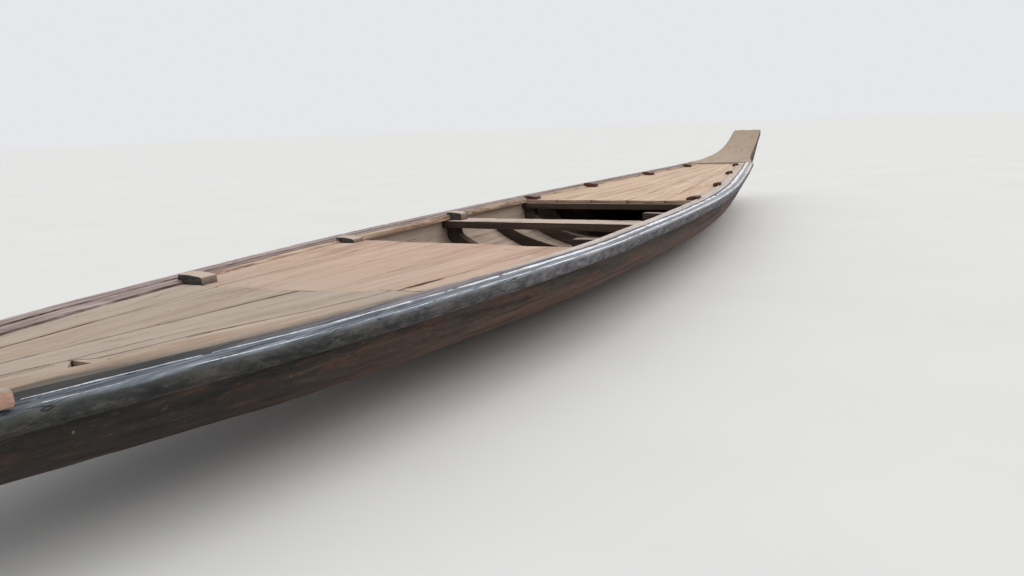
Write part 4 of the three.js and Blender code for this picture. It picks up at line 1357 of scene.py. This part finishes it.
def make_rib(name, x, top, seed):
    """Rib with rounded inner edges that follows the hollow, up to a flat top."""
    ends = (x - RIB_SIDED / 2, x + RIB_SIDED / 2)
    corners = []
    for end, inward in zip(ends, (1, -1)):
        high = top - float(keel_z(end)) - FLOOR_THICK
        floor = min(RIB_FLOOR_MOULD, high * RIB_FLOOR_SHARE)
        outside = rib_path(end, top, RIB_CLEAR, RIB_CLEAR)
        inside = rib_path(end, top, RIB_SIDE_MOULD, floor)
        rows = []
        for out, into in zip(outside, inside):
            step = (into - out) / max(np.linalg.norm(into - out), 1e-9)
            rows.append([(end, *out), (end, *(into - step * RIB_ROUND)),
                         (end + inward * RIB_ROUND * 0.35, *(into - step * RIB_ROUND * 0.3)),
                         (end + inward * RIB_ROUND, *into)])
        corners.append(rows)
    obj = loft(name, np.array([aft + fore[::-1] for aft, fore in zip(*corners)]))
    mesh = obj.data
    inner = np.clip((normals(mesh)[:, 2] * 0.8 + 0.2), 0, 1)
    push(mesh, noise(coordinates(mesh), (0.03, 0.05, 0.05), seed) * 0.0022 * inner)
    shade(mesh, 40)
    grain_along(mesh, "y", seed)
    return obj


def make_ribs():
    """Ribs under the thwarts and between them; those with a knee are worn copies of the CAD."""
    material = timber_material("dark_rib", (40, 32, 28), (66, 53, 45), (98, 80, 66),
                               (158, 140, 124), 0.75)
    for k, f in enumerate(FRAMES):
        ends = np.array([f["x"] - RIB_SIDED / 2, f["x"] + RIB_SIDED / 2])
        thwart_top = float((board_top(ends) - BOARD_THICK - SEAT_GAP).min())
        obj = make_rib(f"rib_{k}_hewn", f["x"], thwart_top - THWART_THICK - SEAT_GAP, 600 + k)
        finish_piece(obj, "hull", f"rib_{k}", material)
    for k, x in enumerate(MID_RIBS):
        node = f"rib_between_{k}"
        if k in KNEED_RIBS:
            obj = worn_copy(node + "_hewn", node, bevel=0.004, step=0.02, rough=0.002,
                            seed=640 + k)
            grain_along(obj.data, "y", 640 + k)
        else:
            obj = make_rib(node + "_hewn", x, float(rail_z(x)) - MID_RIB_BELOW_RAIL, 620 + k)
        finish_piece(obj, "hull", node, material)


def make_cross_board():
    material = timber_material("grey_end_board", (112, 104, 96), (148, 138, 127),
                               (176, 164, 151), (178, 163, 145), 0.75,
                               ((146, 112, 98), (180, 146, 128)))
    obj = worn_copy("cross_board_stern_worn", "cross_board_stern", bevel=0.007, step=0.02,
                    rough=0.0024, seed=700)
    grain_along(obj.data, "y", 701, turn=0.16)
    out = np.abs(normals(obj.data)[:, 1])
    set_attribute(obj.data, "tip", np.clip((out - 0.5) / 0.3, 0, 1))
    finish_piece(obj, "hull", "cross_board_stern", material)


def make_platform(name, node, table, x_of, material, seed):
    """Carved slab: rows along the boat, each a rounded section of the table's breadth."""
    corners = [(-1, 0), (1, 0), (1, -PLATFORM_THICK), (-1, -PLATFORM_THICK)]
    rings = []
    for row in np.linspace(0, 1, PLATFORM_ROWS):
        half = float(smooth(table, HALF, x_of(row, 0.0)))
        outline = rounded([(u * half, v, PLATFORM_ROUND) for u, v in corners])
        outline = densify(outline, 0.016)
        count = len(rings[0]) if rings else len(outline) + len(outline) % 2
        if count != len(outline):
            outline = evenly(np.vstack([outline, outline[:1]]), count, endpoint=False)
        ring = []
        for u, v in outline:
            x = x_of(row, u / half)
            scale = float(smooth(table, HALF, x)) / half
            ring.append((x, u * scale, RAIL_HEIGHT + float(smooth(table, TOP, x)) + v))
        rings.append(ring)
    obj = loft(name, np.array(rings))
    mesh = obj.data
    co = coordinates(mesh)
    offset = noise(co, (0.12, 0.05, 0.05), seed) * 0.0018
    offset += noise(co, (0.03, 0.014, 0.014), seed + 4) * 0.0008 - 0.0006
    push(mesh, np.minimum(offset, 0))
    shade(mesh, 40)
    grain_along(mesh, "x", seed)
    co = coordinates(mesh)
    edge = np.abs(co[:, 1]) / smooth(table, HALF, co[:, 0])
    set_attribute(mesh, "tip", np.clip((edge - 0.97) / 0.03, 0, 1))
    finish_piece(obj, "hull", node, material)


def make_platforms():
    material = timber_material("tan_platform", (118, 98, 83), (154, 134, 116), (180, 162, 144),
                               (178, 160, 142), 0.65, ((58, 50, 44), (112, 96, 80)))
    start, stern = BOW_BUTT + SEAT_GAP, -PLATFORM_REACH
    front = float(STERN_PLATFORM[-1, 0])
    make_platform("platform_bow_worn", "platform_bow", BOW_PLATFORM,
                  lambda t, v: start + (PLATFORM_REACH - start) * t, material, 800)
    make_platform("platform_stern_worn", "platform_stern", STERN_PLATFORM,
                  lambda t, v: stern + t * (front - STERN_CORNER * abs(v) ** STERN_CORNER_POWER
                                            - stern), material, 820)


# Studio

FLOOR_HALF = 60
SKY, SKY_STRENGTH = (250, 252, 255), 0.82
# The photograph's viewpoint: place, angles of view and focal length in the picture's pixels
EYE = (-3.186, -1.331, 0.632)
YAW, PITCH, ROLL = radians(26.88), radians(11.09), -0.0399
FOCAL, PICTURE_WIDTH = 850.35, 1024


def make_studio():
    corners = [(-1, -1, 0), (1, -1, 0), (1, 1, 0), (-1, 1, 0)]
    floor = mesh_object("studio_floor", np.array(corners) * FLOOR_HALF, [(0, 1, 2, 3)])
    g = Graph("pale_floor")
    place = g.place()
    cloud = g.noise(place, 1.4, detail=4)
    base = g.ramp(cloud, (0.3, 219, 218, 216), (0.7, 223, 222, 220))
    floor.data.materials.append(g.finish(base, 0.9, g.bump(g.noise(place, 300), 0.0004, 0.2)))
    world = bpy.data.worlds.new("studio")
    bpy.context.scene.world = world
    world.use_nodes = True
    background = world.node_tree.nodes["Background"]
    background.inputs["Color"].default_value = colour(*SKY)
    background.inputs["Strength"].default_value = SKY_STRENGTH
    soft_light("soft_key", (0.5, -0.55, 1.0), strength=1.15, spread=62, tint=(1.0, 0.975, 0.94))
    bpy.context.scene.view_settings.view_transform = "Standard"
    bpy.context.scene.view_settings.look = "None"


def soft_light(name, place, strength, spread, tint):
    """Far light whose rays come from a broad part of the sky, spread degrees across; its tint
    is a linear colour."""
    light = bpy.data.lights.new(name, "SUN")
    light.energy = strength
    light.angle = radians(spread)
    light.color = tint
    obj = add_object(name, light)
    obj.rotation_euler = Vector(place).to_track_quat("Z", "Y").to_euler()


def make_camera():
    """Beside the stern, looking forward along the boat."""
    forward = Vector((cos(YAW) * cos(PITCH), sin(YAW) * cos(PITCH), -sin(PITCH)))
    right = Vector((sin(YAW), -cos(YAW), 0))
    up = right.cross(forward)
    turned_right = right * cos(ROLL) + up * sin(ROLL)
    turned_up = up * cos(ROLL) - right * sin(ROLL)
    data = bpy.data.cameras.new("camera")
    data.sensor_width = 36
    data.lens = FOCAL / PICTURE_WIDTH * data.sensor_width
    data.clip_start = 0.05
    data.clip_end = 300
    camera = add_object("camera", data)
    axes = Matrix((turned_right, turned_up, -forward)).transposed().to_4x4()
    camera.matrix_world = Matrix.Translation(EYE) @ axes
    bpy.context.scene.camera = camera


make_camera()
make_studio()
make_hull()
make_strakes()
make_caulk()
make_boards()
make_thwarts()
make_ribs()
make_cross_board()
make_platforms()
